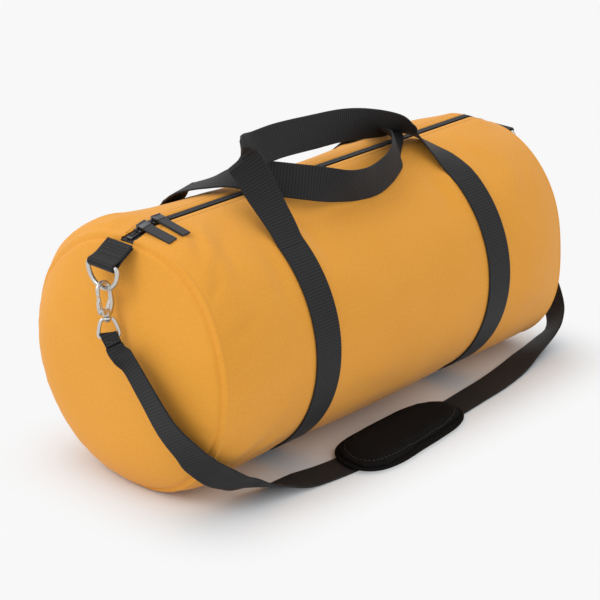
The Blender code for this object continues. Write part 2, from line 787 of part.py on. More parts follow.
def pad_ring(shrink, z):
    """The pad's rounded outline, drawn in by the shrink and laid at a height."""
    turn = Matrix.Rotation(math.radians(PAD_TURN), 3, "Z")
    corner = PAD_CORNER - min(shrink, PAD_CORNER * 0.8)
    reach_x = PAD_LENGTH / 2 - shrink - corner
    reach_y = PAD_WIDTH / 2 - shrink - corner
    ring = []
    for quarter, (sx, sy) in enumerate(((1, 1), (-1, 1), (-1, -1), (1, -1))):
        for i in range(6):
            angle = math.radians(90 * quarter + 18 * i)
            local = Vector((sx * reach_x + corner * math.cos(angle),
                            sy * reach_y + corner * math.sin(angle), 0))
            spot = turn @ local
            ring.append(Vector((PAD_CENTRE[0] + spot.x, PAD_CENTRE[1] + spot.y, z)))
    return ring


def make_pad(finishes):
    low = STRAP_LAID + WEB / 2 + 2 * GAP
    high = low + PAD_THICKNESS
    rings = [pad_ring(PAD_EDGE, low), pad_ring(0, low + 0.25 * PAD_THICKNESS),
             pad_ring(0.4 * PAD_EDGE, low + 0.5 * PAD_THICKNESS),
             pad_ring(2.5 * PAD_EDGE, high - PAD_CROWN),
             pad_ring(6 * PAD_EDGE, high - 0.25 * PAD_CROWN), pad_ring(9 * PAD_EDGE, high)]
    lofted("shoulder_pad", rings, finishes["pad"])


def build():
    clear_scene()
    finishes = make_finishes()
    make_barrel(finishes)
    for half, sign in (("front", -1), ("rear", 1)):
        make_zip_half(half, sign, finishes)
    make_handle("handle_front", FRONT_ROUTE, True, finishes)
    make_handle("handle_rear", REAR_ROUTE, False, finishes)
    routes = {"left": STRAP_LEFT, "right": STRAP_RIGHT}
    for side, sign in SIDES.items():
        make_end_panel(side, sign, finishes)
        make_seam_binding(side, sign, finishes)
        make_zip_stop(side, sign, finishes)
        make_slider(side, finishes)
        make_pull_tab(side, finishes)
        make_web(side, sign, finishes)
        make_ring_tab(side, sign, finishes)
        make_ring(side, sign, finishes)
        make_hook(side, sign, finishes)
        make_gate(side, sign, finishes)
        make_eye(side, sign, finishes)
        make_strap_end(side, sign, finishes)
        make_strap(side, sign, routes[side], finishes)
    make_pad(finishes)


build()
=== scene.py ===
import math

import bpy
from mathutils import Matrix, Vector, noise
from mathutils.bvhtree import BVHTree


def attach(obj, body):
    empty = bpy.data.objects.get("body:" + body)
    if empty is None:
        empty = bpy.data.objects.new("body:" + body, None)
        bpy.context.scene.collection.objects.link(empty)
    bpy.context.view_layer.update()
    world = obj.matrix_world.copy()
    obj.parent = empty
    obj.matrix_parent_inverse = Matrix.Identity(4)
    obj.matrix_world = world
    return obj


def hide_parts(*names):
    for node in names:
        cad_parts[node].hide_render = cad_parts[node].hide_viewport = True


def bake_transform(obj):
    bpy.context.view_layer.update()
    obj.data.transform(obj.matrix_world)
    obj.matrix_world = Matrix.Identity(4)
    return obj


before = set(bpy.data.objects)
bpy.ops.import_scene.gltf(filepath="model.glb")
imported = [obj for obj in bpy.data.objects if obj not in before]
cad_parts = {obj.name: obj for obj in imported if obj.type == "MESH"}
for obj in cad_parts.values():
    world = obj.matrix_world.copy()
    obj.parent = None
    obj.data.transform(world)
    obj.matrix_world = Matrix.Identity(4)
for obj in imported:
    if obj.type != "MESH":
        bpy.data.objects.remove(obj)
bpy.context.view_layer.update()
print("frame loaded with", len(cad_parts), "nodes")


# small tools used by every piece

def hexColour(text):
    values = [int(text[i:i + 2], 16) / 255 for i in (1, 3, 5)]
    linear = [v / 12.92 if v <= 0.04045 else ((v + 0.055) / 1.055) ** 2.4 for v in values]
    return (*linear, 1.0)


def addNode(tree, kind, inputs=None, **settings):
    node = tree.nodes.new(kind)
    for name, value in settings.items():
        setattr(node, name, value)
    for name, value in (inputs or {}).items():
        if isinstance(value, bpy.types.NodeSocket):
            tree.links.new(value, node.inputs[name])
        else:
            node.inputs[name].default_value = value
    return node


def newFinish(name, colour, roughness, metallic=0.0):
    material = bpy.data.materials.new(name)
    material.use_nodes = True
    tree = material.node_tree
    shader = tree.nodes["Principled BSDF"]
    shader.inputs["Base Color"].default_value = hexColour(colour)
    shader.inputs["Roughness"].default_value = roughness
    shader.inputs["Metallic"].default_value = metallic
    return material, tree, shader


def bands(spacing):
    return 2 * math.pi / (20 * spacing)     # wave texture scale for a spacing in metres


def clearSelection():
    if bpy.context.mode != "OBJECT":
        bpy.ops.object.mode_set(mode="OBJECT")
    bpy.ops.object.select_all(action="DESELECT")


def pick(obj):
    clearSelection()
    obj.select_set(True)
    bpy.context.view_layer.objects.active = obj
    return obj


def applyModifier(obj, kind, **settings):
    pick(obj)
    modifier = obj.modifiers.new(kind.lower(), kind)
    for name, value in settings.items():
        setattr(modifier, name, value)
    bpy.ops.object.modifier_apply(modifier=modifier.name)


def smoothShade(obj, degrees=40):
    pick(obj)
    bpy.ops.object.shade_smooth_by_angle(angle=math.radians(degrees))


def faceOutwards(obj):
    pick(obj)
    bpy.ops.object.mode_set(mode="EDIT")
    bpy.ops.mesh.select_all(action="SELECT")
    bpy.ops.mesh.normals_make_consistent(inside=False)
    bpy.ops.object.mode_set(mode="OBJECT")


def joinPieces(name, parts):
    clearSelection()
    for part in parts:
        part.select_set(True)
    bpy.context.view_layer.objects.active = parts[0]
    if len(parts) > 1:
        bpy.ops.object.join()
    parts[0].name = name
    parts[0].data.name = name
    return parts[0]


def settle(obj, place=None):
    pick(obj)
    bpy.ops.object.transform_apply(location=True, rotation=True, scale=True)
    if place is not None:
        obj.data.transform(place)
    return obj


def pointsMesh(name, points, faces, uvs=None):
    mesh = bpy.data.meshes.new(name)
    mesh.from_pydata([tuple(p) for p in points], [], faces)
    if uvs:
        layer = mesh.uv_layers.new(name="cut")
        for loop in mesh.loops:
            layer.data[loop.index].uv = uvs[loop.vertex_index]
    obj = bpy.data.objects.new(name, mesh)
    bpy.context.scene.collection.objects.link(obj)
    return obj


def dress(obj, material, body, slotName, *nodes):
    obj.data.materials.clear()
    obj.data.materials.append(material)
    if body:
        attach(obj, body)
    if nodes:
        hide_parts(*nodes)
    return obj


def ease(low, high, value):
    t = min(1.0, max(0.0, (value - low) / (high - low)))
    return t * t * (3 - 2 * t)


def selectWhere(obj, test):
    pick(obj)
    bpy.ops.object.mode_set(mode="EDIT")
    bpy.ops.mesh.select_mode(type="VERT")
    bpy.ops.mesh.select_all(action="DESELECT")
    bpy.ops.object.mode_set(mode="OBJECT")
    for v in obj.data.vertices:
        v.select = test(v.co)
    bpy.ops.object.mode_set(mode="EDIT")


def shapeWhere(obj, test, move=None, scale=None, centre=(0, 0, 0)):
    selectWhere(obj, test)
    if scale:
        bpy.ops.transform.resize(value=scale, center_override=centre)
    if move:
        bpy.ops.transform.translate(value=move)
    bpy.ops.object.mode_set(mode="OBJECT")


def bevelBlock(name, low, high, width, segments=3):
    clearSelection()
    middle = [(a + b) / 2 for a, b in zip(low, high)]
    bpy.ops.mesh.primitive_cube_add(size=1, location=middle, scale=[b - a for a, b in zip(low, high)])
    obj = settle(bpy.context.object)
    obj.name = name
    applyModifier(obj, "BEVEL", width=width, segments=segments)
    return obj


def bentWire(name, points, radius, sizes=None, cyclic=False, fine=6):
    curve = bpy.data.curves.new(name, "CURVE")
    curve.dimensions = "3D"
    curve.bevel_depth = radius
    curve.bevel_resolution = fine
    curve.use_fill_caps = True
    spline = curve.splines.new("POLY")
    spline.points.add(len(points) - 1)
    spline.use_cyclic_u = cyclic
    for i, (spot, place) in enumerate(zip(points, spline.points)):
        place.co = (*spot, 1)
        place.radius = sizes[i] if sizes else 1.0
    obj = bpy.data.objects.new(name, curve)
    bpy.context.scene.collection.objects.link(obj)
    pick(obj)
    bpy.ops.object.convert(target="MESH")
    obj = bpy.context.object
    bpy.ops.object.mode_set(mode="EDIT")
    bpy.ops.mesh.select_all(action="SELECT")
    bpy.ops.mesh.remove_doubles(threshold=0.00001)
    bpy.ops.mesh.normals_make_consistent(inside=False)
    bpy.ops.object.mode_set(mode="OBJECT")
    smoothShade(obj, 50)
    return obj


def latheShape(name, profile, corners):
    clearSelection()
    radius, height = profile[0]
    bpy.ops.mesh.primitive_circle_add(vertices=corners, radius=radius, fill_type="NGON",
                                      location=(0, 0, height))
    obj = settle(bpy.context.object)
    obj.name = name
    bpy.ops.object.mode_set(mode="EDIT")
    bpy.ops.mesh.select_all(action="SELECT")
    for (r0, z0), (r1, z1) in zip(profile, profile[1:]):
        bpy.ops.mesh.extrude_region_move(TRANSFORM_OT_translate={"value": (0, 0, z1 - z0)})
        bpy.ops.transform.resize(value=(r1 / r0, r1 / r0, 1), center_override=(0, 0, z1))
    bpy.ops.mesh.select_all(action="SELECT")
    bpy.ops.mesh.normals_make_consistent(inside=False)
    bpy.ops.object.mode_set(mode="OBJECT")
    return obj


def castTogether(name, parts, grain):
    obj = joinPieces(name, parts)
    applyModifier(obj, "REMESH", mode="VOXEL", voxel_size=grain)
    applyModifier(obj, "SMOOTH", factor=0.5, iterations=4)
    smoothShade(obj, 80)
    return obj


sides = {"left": -1, "right": 1}


# camera at the photo's angle

shot = dict(azimuth=-46.90, elevation=22.41, distance=1.797, target=(-0.0270, 0.0, 0.1075), lens=120.0,
            sensor=36.0, sight=20.0)


def setCamera():
    turn = math.radians(shot["azimuth"])
    rise = math.radians(shot["elevation"])
    back = Vector((math.sin(turn) * math.cos(rise), -math.cos(turn) * math.cos(rise), math.sin(rise)))
    clearSelection()
    bpy.ops.object.camera_add(location=Vector(shot["target"]) + back * shot["distance"],
                              rotation=(math.pi / 2 - rise, 0, turn))
    camera = bpy.context.object
    camera.data.lens = shot["lens"]
    camera.data.sensor_width = shot["sensor"]
    camera.data.clip_end = shot["sight"]
    bpy.context.scene.camera = camera


setCamera()
print("camera set")


# finishes, each from what the real material is

# metres from one thread, yarn, rib or loop to the next
weaveSizes = dict(clothThread=0.0011, webYarn=0.0011, webRib=0.0027, tapeYarn=0.0009, padKnit=0.0013,
                  threadTwist=0.0006)


def makeOrangePolyester():
    # woven polyester canvas: matt, close plain weave, a soft sheen at the edges of the form
    # the real threads are about 0.4 mm apart, drawn at 1.1 mm so that they show at all
    material, tree, shader = newFinish("orangePolyesterCanvas", "#E89E3A", 0.78)
    shader.inputs["Sheen Weight"].default_value = 0.12
    shader.inputs["Sheen Roughness"].default_value = 0.5
    shader.inputs["Specular IOR Level"].default_value = 0.3
    cut = addNode(tree, "ShaderNodeUVMap", uv_map="cut").outputs["UV"]
    scale = bands(weaveSizes["clothThread"])
    warp = addNode(tree, "ShaderNodeTexWave", {"Vector": cut, "Scale": scale, "Distortion": 0.6,
                                               "Detail": 1.0}, bands_direction="X")
    weft = addNode(tree, "ShaderNodeTexWave", {"Vector": cut, "Scale": scale, "Distortion": 0.6,
                                               "Detail": 1.0}, bands_direction="Y")
    weave = addNode(tree, "ShaderNodeMath", {0: warp.outputs["Fac"], 1: weft.outputs["Fac"]},
                    operation="MAXIMUM")
    cloud = addNode(tree, "ShaderNodeTexNoise", {"Vector": cut, "Scale": 16.0, "Detail": 3.0})
    slub = addNode(tree, "ShaderNodeTexNoise", {"Vector": cut, "Scale": 420.0, "Detail": 2.0})
    mottle = addNode(tree, "ShaderNodeMath", {0: cloud.outputs["Fac"], 1: 0.6, 2: slub.outputs["Fac"]},
                     operation="MULTIPLY_ADD")
    level = addNode(tree, "ShaderNodeMapRange", {"Value": mottle.outputs[0], "From Min": 0.45,
                                                 "From Max": 1.15, "To Min": 0.0, "To Max": 1.0})
    tone = addNode(tree, "ShaderNodeMix", {0: level.outputs["Result"], 6: hexColour("#E49A2F"),
                                           7: hexColour("#ECA43A")}, data_type="RGBA")
    tree.links.new(tone.outputs[2], shader.inputs["Base Color"])
    bump = addNode(tree, "ShaderNodeBump", {"Height": weave.outputs[0], "Strength": 0.22,
                                            "Distance": 0.00015})
    tree.links.new(bump.outputs["Normal"], shader.inputs["Normal"])
    return material


def makeBlackWebbing(name, colour, light):
    # polypropylene webbing: ribs across the band are in the mesh, the yarns along it are here, and the ribs
    # are also painted into the colour as shade, darker in the grooves and lighter on the rib tops
    # it catches a grey sheen where light grazes the ribs
    material, tree, shader = newFinish(name, colour, 0.62)
    shader.inputs["Sheen Weight"].default_value = 0.06
    shader.inputs["Sheen Roughness"].default_value = 0.4
    shader.inputs["Specular IOR Level"].default_value = 0.22
    cut = addNode(tree, "ShaderNodeUVMap", uv_map="cut").outputs["UV"]
    yarn = addNode(tree, "ShaderNodeTexWave", {"Vector": cut, "Scale": bands(weaveSizes["webYarn"]),
                                               "Distortion": 0.8, "Detail": 1.0}, bands_direction="X")
    ribs = addNode(tree, "ShaderNodeTexWave", {"Vector": cut, "Scale": bands(weaveSizes["webRib"])},
                   bands_direction="Y")
    fuzz = addNode(tree, "ShaderNodeTexNoise", {"Vector": cut, "Scale": 900.0, "Detail": 3.0})
    twist = addNode(tree, "ShaderNodeMath", {0: yarn.outputs["Fac"], 1: fuzz.outputs["Fac"]},
                    operation="MULTIPLY")
    # painted shade: the rib wave darkens the colour in bands at the rib spacing for the grooves, mixed with
    # the yarn texture; the same level also drives the bump
    level = addNode(tree, "ShaderNodeMath", {0: ribs.outputs["Fac"], 1: 0.6, 2: twist.outputs[0]},
                    operation="MULTIPLY_ADD")
    tone = addNode(tree, "ShaderNodeMix", {0: level.outputs[0], 6: hexColour(colour),
                                           7: hexColour(light)}, data_type="RGBA")
    tree.links.new(tone.outputs[2], shader.inputs["Base Color"])
    bump = addNode(tree, "ShaderNodeBump", {"Height": level.outputs[0], "Strength": 0.35,
                                            "Distance": 0.0002})
    tree.links.new(bump.outputs["Normal"], shader.inputs["Normal"])
    return material


def makeZipTapeCloth():
    # woven polyester zip tape: flat black with a fine herringbone that only roughens it
    material, tree, shader = newFinish("wovenZipTape", "#232325", 0.8)
    cut = addNode(tree, "ShaderNodeUVMap", uv_map="cut").outputs["UV"]
    rib = addNode(tree, "ShaderNodeTexWave", {"Vector": cut, "Scale": bands(weaveSizes["tapeYarn"]),
                                              "Distortion": 1.2}, bands_direction="DIAGONAL")
    tone = addNode(tree, "ShaderNodeMix", {0: rib.outputs["Fac"], 6: hexColour("#1E1E20"),
                                           7: hexColour("#2C2C2F")}, data_type="RGBA")
    tree.links.new(tone.outputs[2], shader.inputs["Base Color"])
    bump = addNode(tree, "ShaderNodeBump", {"Height": rib.outputs["Fac"], "Strength": 0.3,
                                            "Distance": 0.0001})
    tree.links.new(bump.outputs["Normal"], shader.inputs["Normal"])
    return material


def makePadCover():
    # knitted polyester over foam: deep matt black, a fine knit that scatters what light it gets
    material, tree, shader = newFinish("knittedPadCover", "#1B1A1A", 0.9)
    shader.inputs["Specular IOR Level"].default_value = 0.08
    place = addNode(tree, "ShaderNodeTexCoord").outputs["Object"]
    knit = addNode(tree, "ShaderNodeTexVoronoi", {"Vector": place, "Scale": 1 / weaveSizes["padKnit"],
                                                  "Randomness": 0.35})
    wear = addNode(tree, "ShaderNodeTexNoise", {"Vector": place, "Scale": 60.0, "Detail": 3.0})
    tone = addNode(tree, "ShaderNodeMix", {0: wear.outputs["Fac"], 6: hexColour("#131212"),
                                           7: hexColour("#1A1919")}, data_type="RGBA")
    tree.links.new(tone.outputs[2], shader.inputs["Base Color"])
    bump = addNode(tree, "ShaderNodeBump", {"Height": knit.outputs["Distance"], "Strength": 0.35,
                                            "Distance": 0.0003})
    tree.links.new(bump.outputs["Normal"], shader.inputs["Normal"])
    return material


def makeMetal(name, colour, low, high, grain):
    # cast and plated: smooth to the eye, its shine broken a little by handling marks
    material, tree, shader = newFinish(name, colour, (low + high) / 2, 1.0)
    place = addNode(tree, "ShaderNodeTexCoord").outputs["Object"]
    marks = addNode(tree, "ShaderNodeTexNoise", {"Vector": place, "Scale": 1 / grain, "Detail": 4.0})
    rough = addNode(tree, "ShaderNodeMapRange", {"Value": marks.outputs["Fac"], "From Min": 0.3,
                                                 "From Max": 0.7, "To Min": low, "To Max": high})
    tree.links.new(rough.outputs["Result"], shader.inputs["Roughness"])
    bump = addNode(tree, "ShaderNodeBump", {"Height": marks.outputs["Fac"], "Strength": 0.05,
                                            "Distance": 0.0002})
    tree.links.new(bump.outputs["Normal"], shader.inputs["Normal"])
    return material


def makeThread(name, dark, light):
    # twisted polyester thread: the twist shows as fine slanted light and dark
    material, tree, shader = newFinish(name, dark, 0.6)
    place = addNode(tree, "ShaderNodeTexCoord").outputs["Object"]
    twist = addNode(tree, "ShaderNodeTexWave", {"Vector": place, "Scale": bands(weaveSizes["threadTwist"])},
                    bands_direction="DIAGONAL")
    tone = addNode(tree, "ShaderNodeMix", {0: twist.outputs["Fac"], 6: hexColour(dark),
                                           7: hexColour(light)}, data_type="RGBA")
    tree.links.new(tone.outputs[2], shader.inputs["Base Color"])
    return material


def makeNylonCoil():
    # nylon monofilament: dark, with the soft gloss of drawn plastic
    material, tree, shader = newFinish("nylonZipCoil", "#2B2B2E", 0.42)
    place = addNode(tree, "ShaderNodeTexCoord").outputs["Object"]
    rub = addNode(tree, "ShaderNodeTexNoise", {"Vector": place, "Scale": 180.0, "Detail": 2.0})
    rough = addNode(tree, "ShaderNodeMapRange", {"Value": rub.outputs["Fac"], "To Min": 0.34,
                                                 "To Max": 0.55})
    tree.links.new(rough.outputs["Result"], shader.inputs["Roughness"])
    return material


orangeCloth = makeOrangePolyester()
# for each webbing the first colour is the rib grooves darkened as painted shade and the second is the rib
# tops
blackWeb = makeBlackWebbing("ribbedPolypropyleneWebbing", "#0F0F10", "#2C2C2E")
softWeb = makeBlackWebbing("flatPolyesterTab", "#28282A", "#48484B")
zipCloth = makeZipTapeCloth()
padCover = makePadCover()
coilNylon = makeNylonCoil()
nickel = makeMetal("brightNickelPlate", "#CBCAC7", 0.24, 0.38, 0.0035)
gunmetal = makeMetal("blackenedZinc", "#5C5D60", 0.30, 0.46, 0.0025)
orangeThread = makeThread("orangePolyesterThread", "#A86A20", "#C98833")
blackThread = makeThread("blackPolyesterThread", "#1F1F20", "#47474A")
print("finishes made")


# curves and bands of webbing

def splinePoint(a, b, c, d, t):
    return 0.5 * (2 * b + (c - a) * t + (2 * a - 5 * b + 4 * c - d) * t * t
                  + (3 * b - a - 3 * c + d) * t ** 3)


def smoothThrough(points, steps):
    ends = [2 * points[0] - points[1], *points, 2 * points[-1] - points[-2]]
    result = []
    for i in range(1, len(ends) - 2):
        for k in range(steps):
            result.append(splinePoint(*ends[i - 1:i + 3], k / steps))
    result.append(points[-1])
    return result


def runAlong(path):
    run = [0.0]
    for a, b in zip(path, path[1:]):
        run.append(run[-1] + (b - a).length)
    return run


def stepAt(run, want, k=0):
    while k < len(run) - 2 and run[k + 1] < want:
        k += 1
    return k, (want - run[k]) / max(run[k + 1] - run[k], 1e-9)


def evenStations(points, across, widths, step):
    path = smoothThrough(points, 16)
    turn = smoothThrough(across, 16)
    width = smoothThrough(widths, 16)
    run = runAlong(path)
    count = max(2, round(run[-1] / step))
    stations = []
    k = 0
    for i in range(count + 1):
        want = run[-1] * i / count
        k, t = stepAt(run, want, k)
        stations.append((path[k].lerp(path[k + 1], t), turn[k].lerp(turn[k + 1], t),
                         width[k] + (width[k + 1] - width[k]) * t, want))
    return stations


# where the band's section has its points: share of half the width, share of half the thickness
bandSection = [(-1, 0), (-0.985, 0.72), (-0.95, 1.0), (-0.9, 1.06), (-0.84, 1.0), (-0.45, 1.0), (0, 1.0),
               (0.45, 1.0), (0.84, 1.0), (0.9, 1.06), (0.95, 1.0), (0.985, 0.72), (1, 0)]


def weaveBand(name, stations, cloth, lowest=None):
    thickness = cloth["thickness"]
    pitch = cloth["ribPitch"]
    ring = [(s, h) for s, h in bandSection] + [(s, -h) for s, h in reversed(bandSection[1:-1])]
    points = []
    uvs = []
    last = len(stations) - 1
    for i, (centre, across, width, run) in enumerate(stations):
        along = (stations[min(i + 2, last)][0] - stations[max(i - 2, 0)][0]).normalized()
        side = (across - along * across.dot(along)).normalized()
        up = side.cross(along)
        wave = abs(math.sin(math.pi * run / pitch)) ** 0.8 - 0.6
        for s, h in ring:
            rib = wave * cloth["ribDepth"] * (1.0 if abs(s) < 0.87 else 0.35 if abs(s) < 0.99 else 0.0)
            lift = h * thickness / 2 + (rib if h > 0 else -rib if h < 0 else 0.0)
            spot = centre + side * (s * width / 2) + up * lift
            if lowest is not None:
                spot.z = max(spot.z, lowest + (0.5 + 0.5 * h) * thickness * 0.6)
            points.append(spot)
            uvs.append((s * width / 2, run * webbing["ribPitch"] / pitch))
    count = len(ring)
    faces = []
    for i in range(last):
        for j in range(count):
            k = (j + 1) % count
            faces.append((i * count + j, i * count + k, (i + 1) * count + k, (i + 1) * count + j))
    faces.append(tuple(range(count)))
    faces.append(tuple(last * count + j for j in range(count)))
    obj = pointsMesh(name, points, faces, uvs)
    faceOutwards(obj)
    smoothShade(obj, 60)
    return obj


def foldBand(name, centres, across, width, cloth):
    count = len(centres)
    stations = evenStations(centres, [across] * count, [width] * count, cloth["ribPitch"] / 4)
    return weaveBand(name, stations, cloth)


webbing = dict(width=0.030, thickness=0.0016, ribPitch=weaveSizes["webRib"], ribDepth=0.00028)


# the bag's own sizes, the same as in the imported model

bag = dict(radius=0.1145, halfLength=0.233, seamRadius=0.108, shoulderX=0.2055, axisZ=0.1148, lowest=0.0019,
           webX=0.115, sewnDegrees=40.7, sagEnd=0.0055, gap=0.0003)
# ring, hook and eye at each end: where they hang and how the strap pulls on them
hang = dict(ringX=0.2585, ringZ=0.2083, hookDrop=0.0205, hookLean=(0.15, -0.30, -1),
            eyeTurn=45, eyeDrop=0.0395, pull=(0.05, -0.83, -0.55), square=0.3)


def roundPoint(x, degrees, radius):
    turn = math.radians(degrees)
    return Vector((x, radius * math.sin(turn), bag["axisZ"] + radius * math.cos(turn)))


def ringBar(sign):
    return Vector((sign * hang["ringX"], 0, hang["ringZ"] - bag["sagEnd"] * (sign > 0)))


def hookPlace(sign):
    lean, forward, fall = hang["hookLean"]
    down = Vector((sign * lean, forward, fall)).normalized()
    inward = Vector((-sign, 0, 0))
    inward = (inward - down * inward.dot(down)).normalized()
    across = down.cross(inward)
    place = Matrix((inward, across, down)).transposed().to_4x4()
    return Matrix.Translation(ringBar(sign) - Vector((0, 0, hang["hookDrop"]))) @ place


def eyePlace(sign):
    return hookPlace(sign) @ Matrix.Rotation(-sign * math.radians(hang["eyeTurn"]), 4, "Z")


# shoulder strap, the free webbing from each hook to the middle of the pad

# each row is a point in millimetres, the way across the band there, and its width in metres
strap = dict(neck=0.0150, startDrop=0.0096, startRun=0.006, widen=1.05, lowest=0.00015, left=[
    ((-267, -37, 134.3), (0.10, -0.90, 0.35), 0.0195),
    ((-266, -55.6, 113), (-0.07, -0.84, 0.50), 0.0255),
    ((-261, -73.2, 86), (-0.10, -0.77, 0.63), 0.030),
    ((-251, -86.9, 65.6), (0.01, -0.70, 0.72), 0.030),
    ((-242, -91.7, 53.1), (0.03, -0.60, 0.80), 0.030),
    ((-229, -96.1, 40.7), (-0.11, -0.53, 0.84), 0.030),
    ((-209, -97.2, 27), (-0.41, -0.53, 0.74), 0.030),
    ((-189, -97, 17.4), (-0.57, -0.56, 0.60), 0.030),
    ((-163, -98.5, 7.1), (-0.67, -0.62, 0.41), 0.030),
    ((-133.8, -102.3, 2.5), (-0.5, -0.85, 0.03), 0.030),
    ((-101, -106.5, 1.0), (-0.2, -1, 0), 0.030),
    ((-55, -110, 0.9), (-0.08, -1, 0), 0.030),
    ((-11, -110, 0.9), (0.05, -1, 0), 0.030),
], right=[
    ((268, -28, 112), (-0.45, -0.75, 0.5), 0.026),
    ((270, -41, 80), (-0.15, -0.85, 0.5), 0.030),
    ((271, -57, 50), (0, -0.8, 0.6), 0.030),
    ((268, -70, 27), (-0.1, -0.75, 0.65), 0.030),
    ((258, -76, 15), (-0.2, -0.8, 0.55), 0.030),
    ((242, -77, 8.5), (-0.1, -0.9, 0.42), 0.030),
    ((212, -82, 4.2), (-0.1, -0.95, 0.27), 0.030),
    ((176, -90, 1.4), (-0.2, -0.97, 0.06), 0.030),
    ((138, -97, 0.9), (-0.15, -0.98, 0), 0.030),
    ((98, -101, 0.9), (-0.1, -1, 0), 0.030),
    ((55, -105, 0.9), (-0.08, -1, 0), 0.030),
    ((22, -107.5, 0.9), (-0.08, -1, 0), 0.030),
    ((-9, -110, 0.9), (-0.08, -1, 0), 0.030),
])


def tailPlace(sign):
    place = eyePlace(sign) @ Matrix.Translation((0, 0, hang["eyeDrop"]))
    bar = (place.to_3x3() @ Vector((1, 0, 0))).normalized()
    outward, forward, fall = hang["pull"]
    along = Vector((sign * outward, forward, fall))
    along = (along - hang["square"] * bar * along.dot(bar)).normalized()    # the band leaves the bar aslant
    turn = Matrix((bar, along.cross(bar), along)).transposed().to_4x4()
    return Matrix.Translation(place.translation) @ turn


def makeStrap(side, sign):
    place = tailPlace(sign)
    route = strap[side]
    width = place.to_3x3() @ Vector((1, 0, 0))
    if width.dot(Vector(route[0][1])) < 0:
        width = -width
    centres = [place @ Vector((0, 0, strap["startDrop"] + run)) for run in (0, strap["startRun"])]
    across = [width, width]
    widths = [strap["neck"], strap["neck"] * strap["widen"]]
    for point, direction, wide in route:
        centres.append(Vector(point) / 1000)
        across.append(Vector(direction).normalized())
        widths.append(wide)
    stations = evenStations(centres, across, widths, webbing["ribPitch"] / 4)
    obj = weaveBand("shoulderStrap." + side, stations, webbing, strap["lowest"])
    dress(obj, blackWeb, None, "webbing", "shoulder_strap_" + side)
    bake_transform(obj)
    path = [s[0] for s in stations[::4]]
    if stations[-1][0] != path[-1]:
        path.append(stations[-1][0])
    print("strap", side, "is", round(stations[-1][3], 3), "m long")


for sideName, sideSign in sides.items():
    makeStrap(sideName, sideSign)


# pale floor and soft studio light

stageSizes = dict(radius=4.0, under=0.0003, middle=(0.0, -0.010, 0.0), half=(0.215, 0.076, 1.0),
                  near=0.0, far=0.105, white=0.939, world=0.84)


def seenDirectly(tree):
    # one for rays from the camera, from metal and through glass, nought for the light on the bag
    light = addNode(tree, "ShaderNodeLightPath")
    seen = addNode(tree, "ShaderNodeMath", {0: light.outputs["Is Camera Ray"],
                                            1: light.outputs["Is Glossy Ray"]}, operation="MAXIMUM")
    return addNode(tree, "ShaderNodeMath", {0: seen.outputs[0], 1: light.outputs["Is Transmission Ray"]},
                   operation="MAXIMUM").outputs[0]


def makeStage():
    clearSelection()
    bpy.ops.mesh.primitive_circle_add(vertices=96, radius=stageSizes["radius"], fill_type="NGON",
                                      location=(0, 0, -stageSizes["under"]))
    floor = settle(bpy.context.object)
    floor.name = "floor"
    material, tree, shader = newFinish("palePaper", "#EEF1F4", 0.9)
    shader.inputs["Specular IOR Level"].default_value = 0.1
    place = addNode(tree, "ShaderNodeTexCoord").outputs["Object"]
    aside = addNode(tree, "ShaderNodeVectorMath", {0: place, 1: stageSizes["middle"]}, operation="SUBTRACT")
    spread = addNode(tree, "ShaderNodeVectorMath", {0: aside.outputs[0]}, operation="ABSOLUTE")
    past = addNode(tree, "ShaderNodeVectorMath", {0: spread.outputs[0], 1: stageSizes["half"]},
                   operation="SUBTRACT")
    outside = addNode(tree, "ShaderNodeVectorMath", {0: past.outputs[0], 1: (0, 0, 0)}, operation="MAXIMUM")
    away = addNode(tree, "ShaderNodeVectorMath", {0: outside.outputs[0]}, operation="LENGTH")
    fade = addNode(tree, "ShaderNodeMapRange", {"Value": away.outputs["Value"],
                                                "From Min": stageSizes["near"],
                                                "From Max": stageSizes["far"]},
                   interpolation_type="SMOOTHSTEP")
    glow = addNode(tree, "ShaderNodeEmission", {"Strength": stageSizes["white"]})
    share = addNode(tree, "ShaderNodeMath", {0: seenDirectly(tree), 1: fade.outputs["Result"]},
                    operation="MULTIPLY")
    mix = addNode(tree, "ShaderNodeMixShader", {0: share.outputs[0], 1: shader.outputs[0],
                                                2: glow.outputs[0]})
    tree.links.new(mix.outputs[0], tree.nodes["Material Output"].inputs["Surface"])
    floor.data.materials.append(material)


def makeWorld():
    world = bpy.data.worlds.new("paleStudio")
    bpy.context.scene.world = world
    world.use_nodes = True
    tree = world.node_tree
    background = tree.nodes["Background"]
    background.inputs["Color"].default_value = (1, 1, 1, 1)
    level = addNode(tree, "ShaderNodeMapRange", {"Value": seenDirectly(tree),
                                                 "To Min": stageSizes["world"],
                                                 "To Max": stageSizes["white"]})
    tree.links.new(level.outputs["Result"], background.inputs["Strength"])


def addLamp(name, location, target, size, power):
    clearSelection()
    direction = Vector(target) - Vector(location)
    bpy.ops.object.light_add(type="AREA", location=location,
                             rotation=direction.to_track_quat("-Z", "Y").to_euler())
    lamp = bpy.context.object
    lamp.name = name
    lamp.data.shape = "DISK"
    lamp.data.size = size
    lamp.data.energy = power


makeStage()
makeWorld()
addLamp("keyLamp", (-1.9, 0.7, 1.9), (0, 0, 0.1), 1.5, 15)
addLamp("topLamp", (0.2, 0.9, 2.4), (0, 0, 0.1), 1.6, 7)
bpy.context.scene.view_settings.view_transform = "Standard"
print("stage and lamps set")


# carry webs, sewn round the barrel, and the handles that go on from them

webs = dict(steps=860, overlap=0.55, floorGap=0.0001)


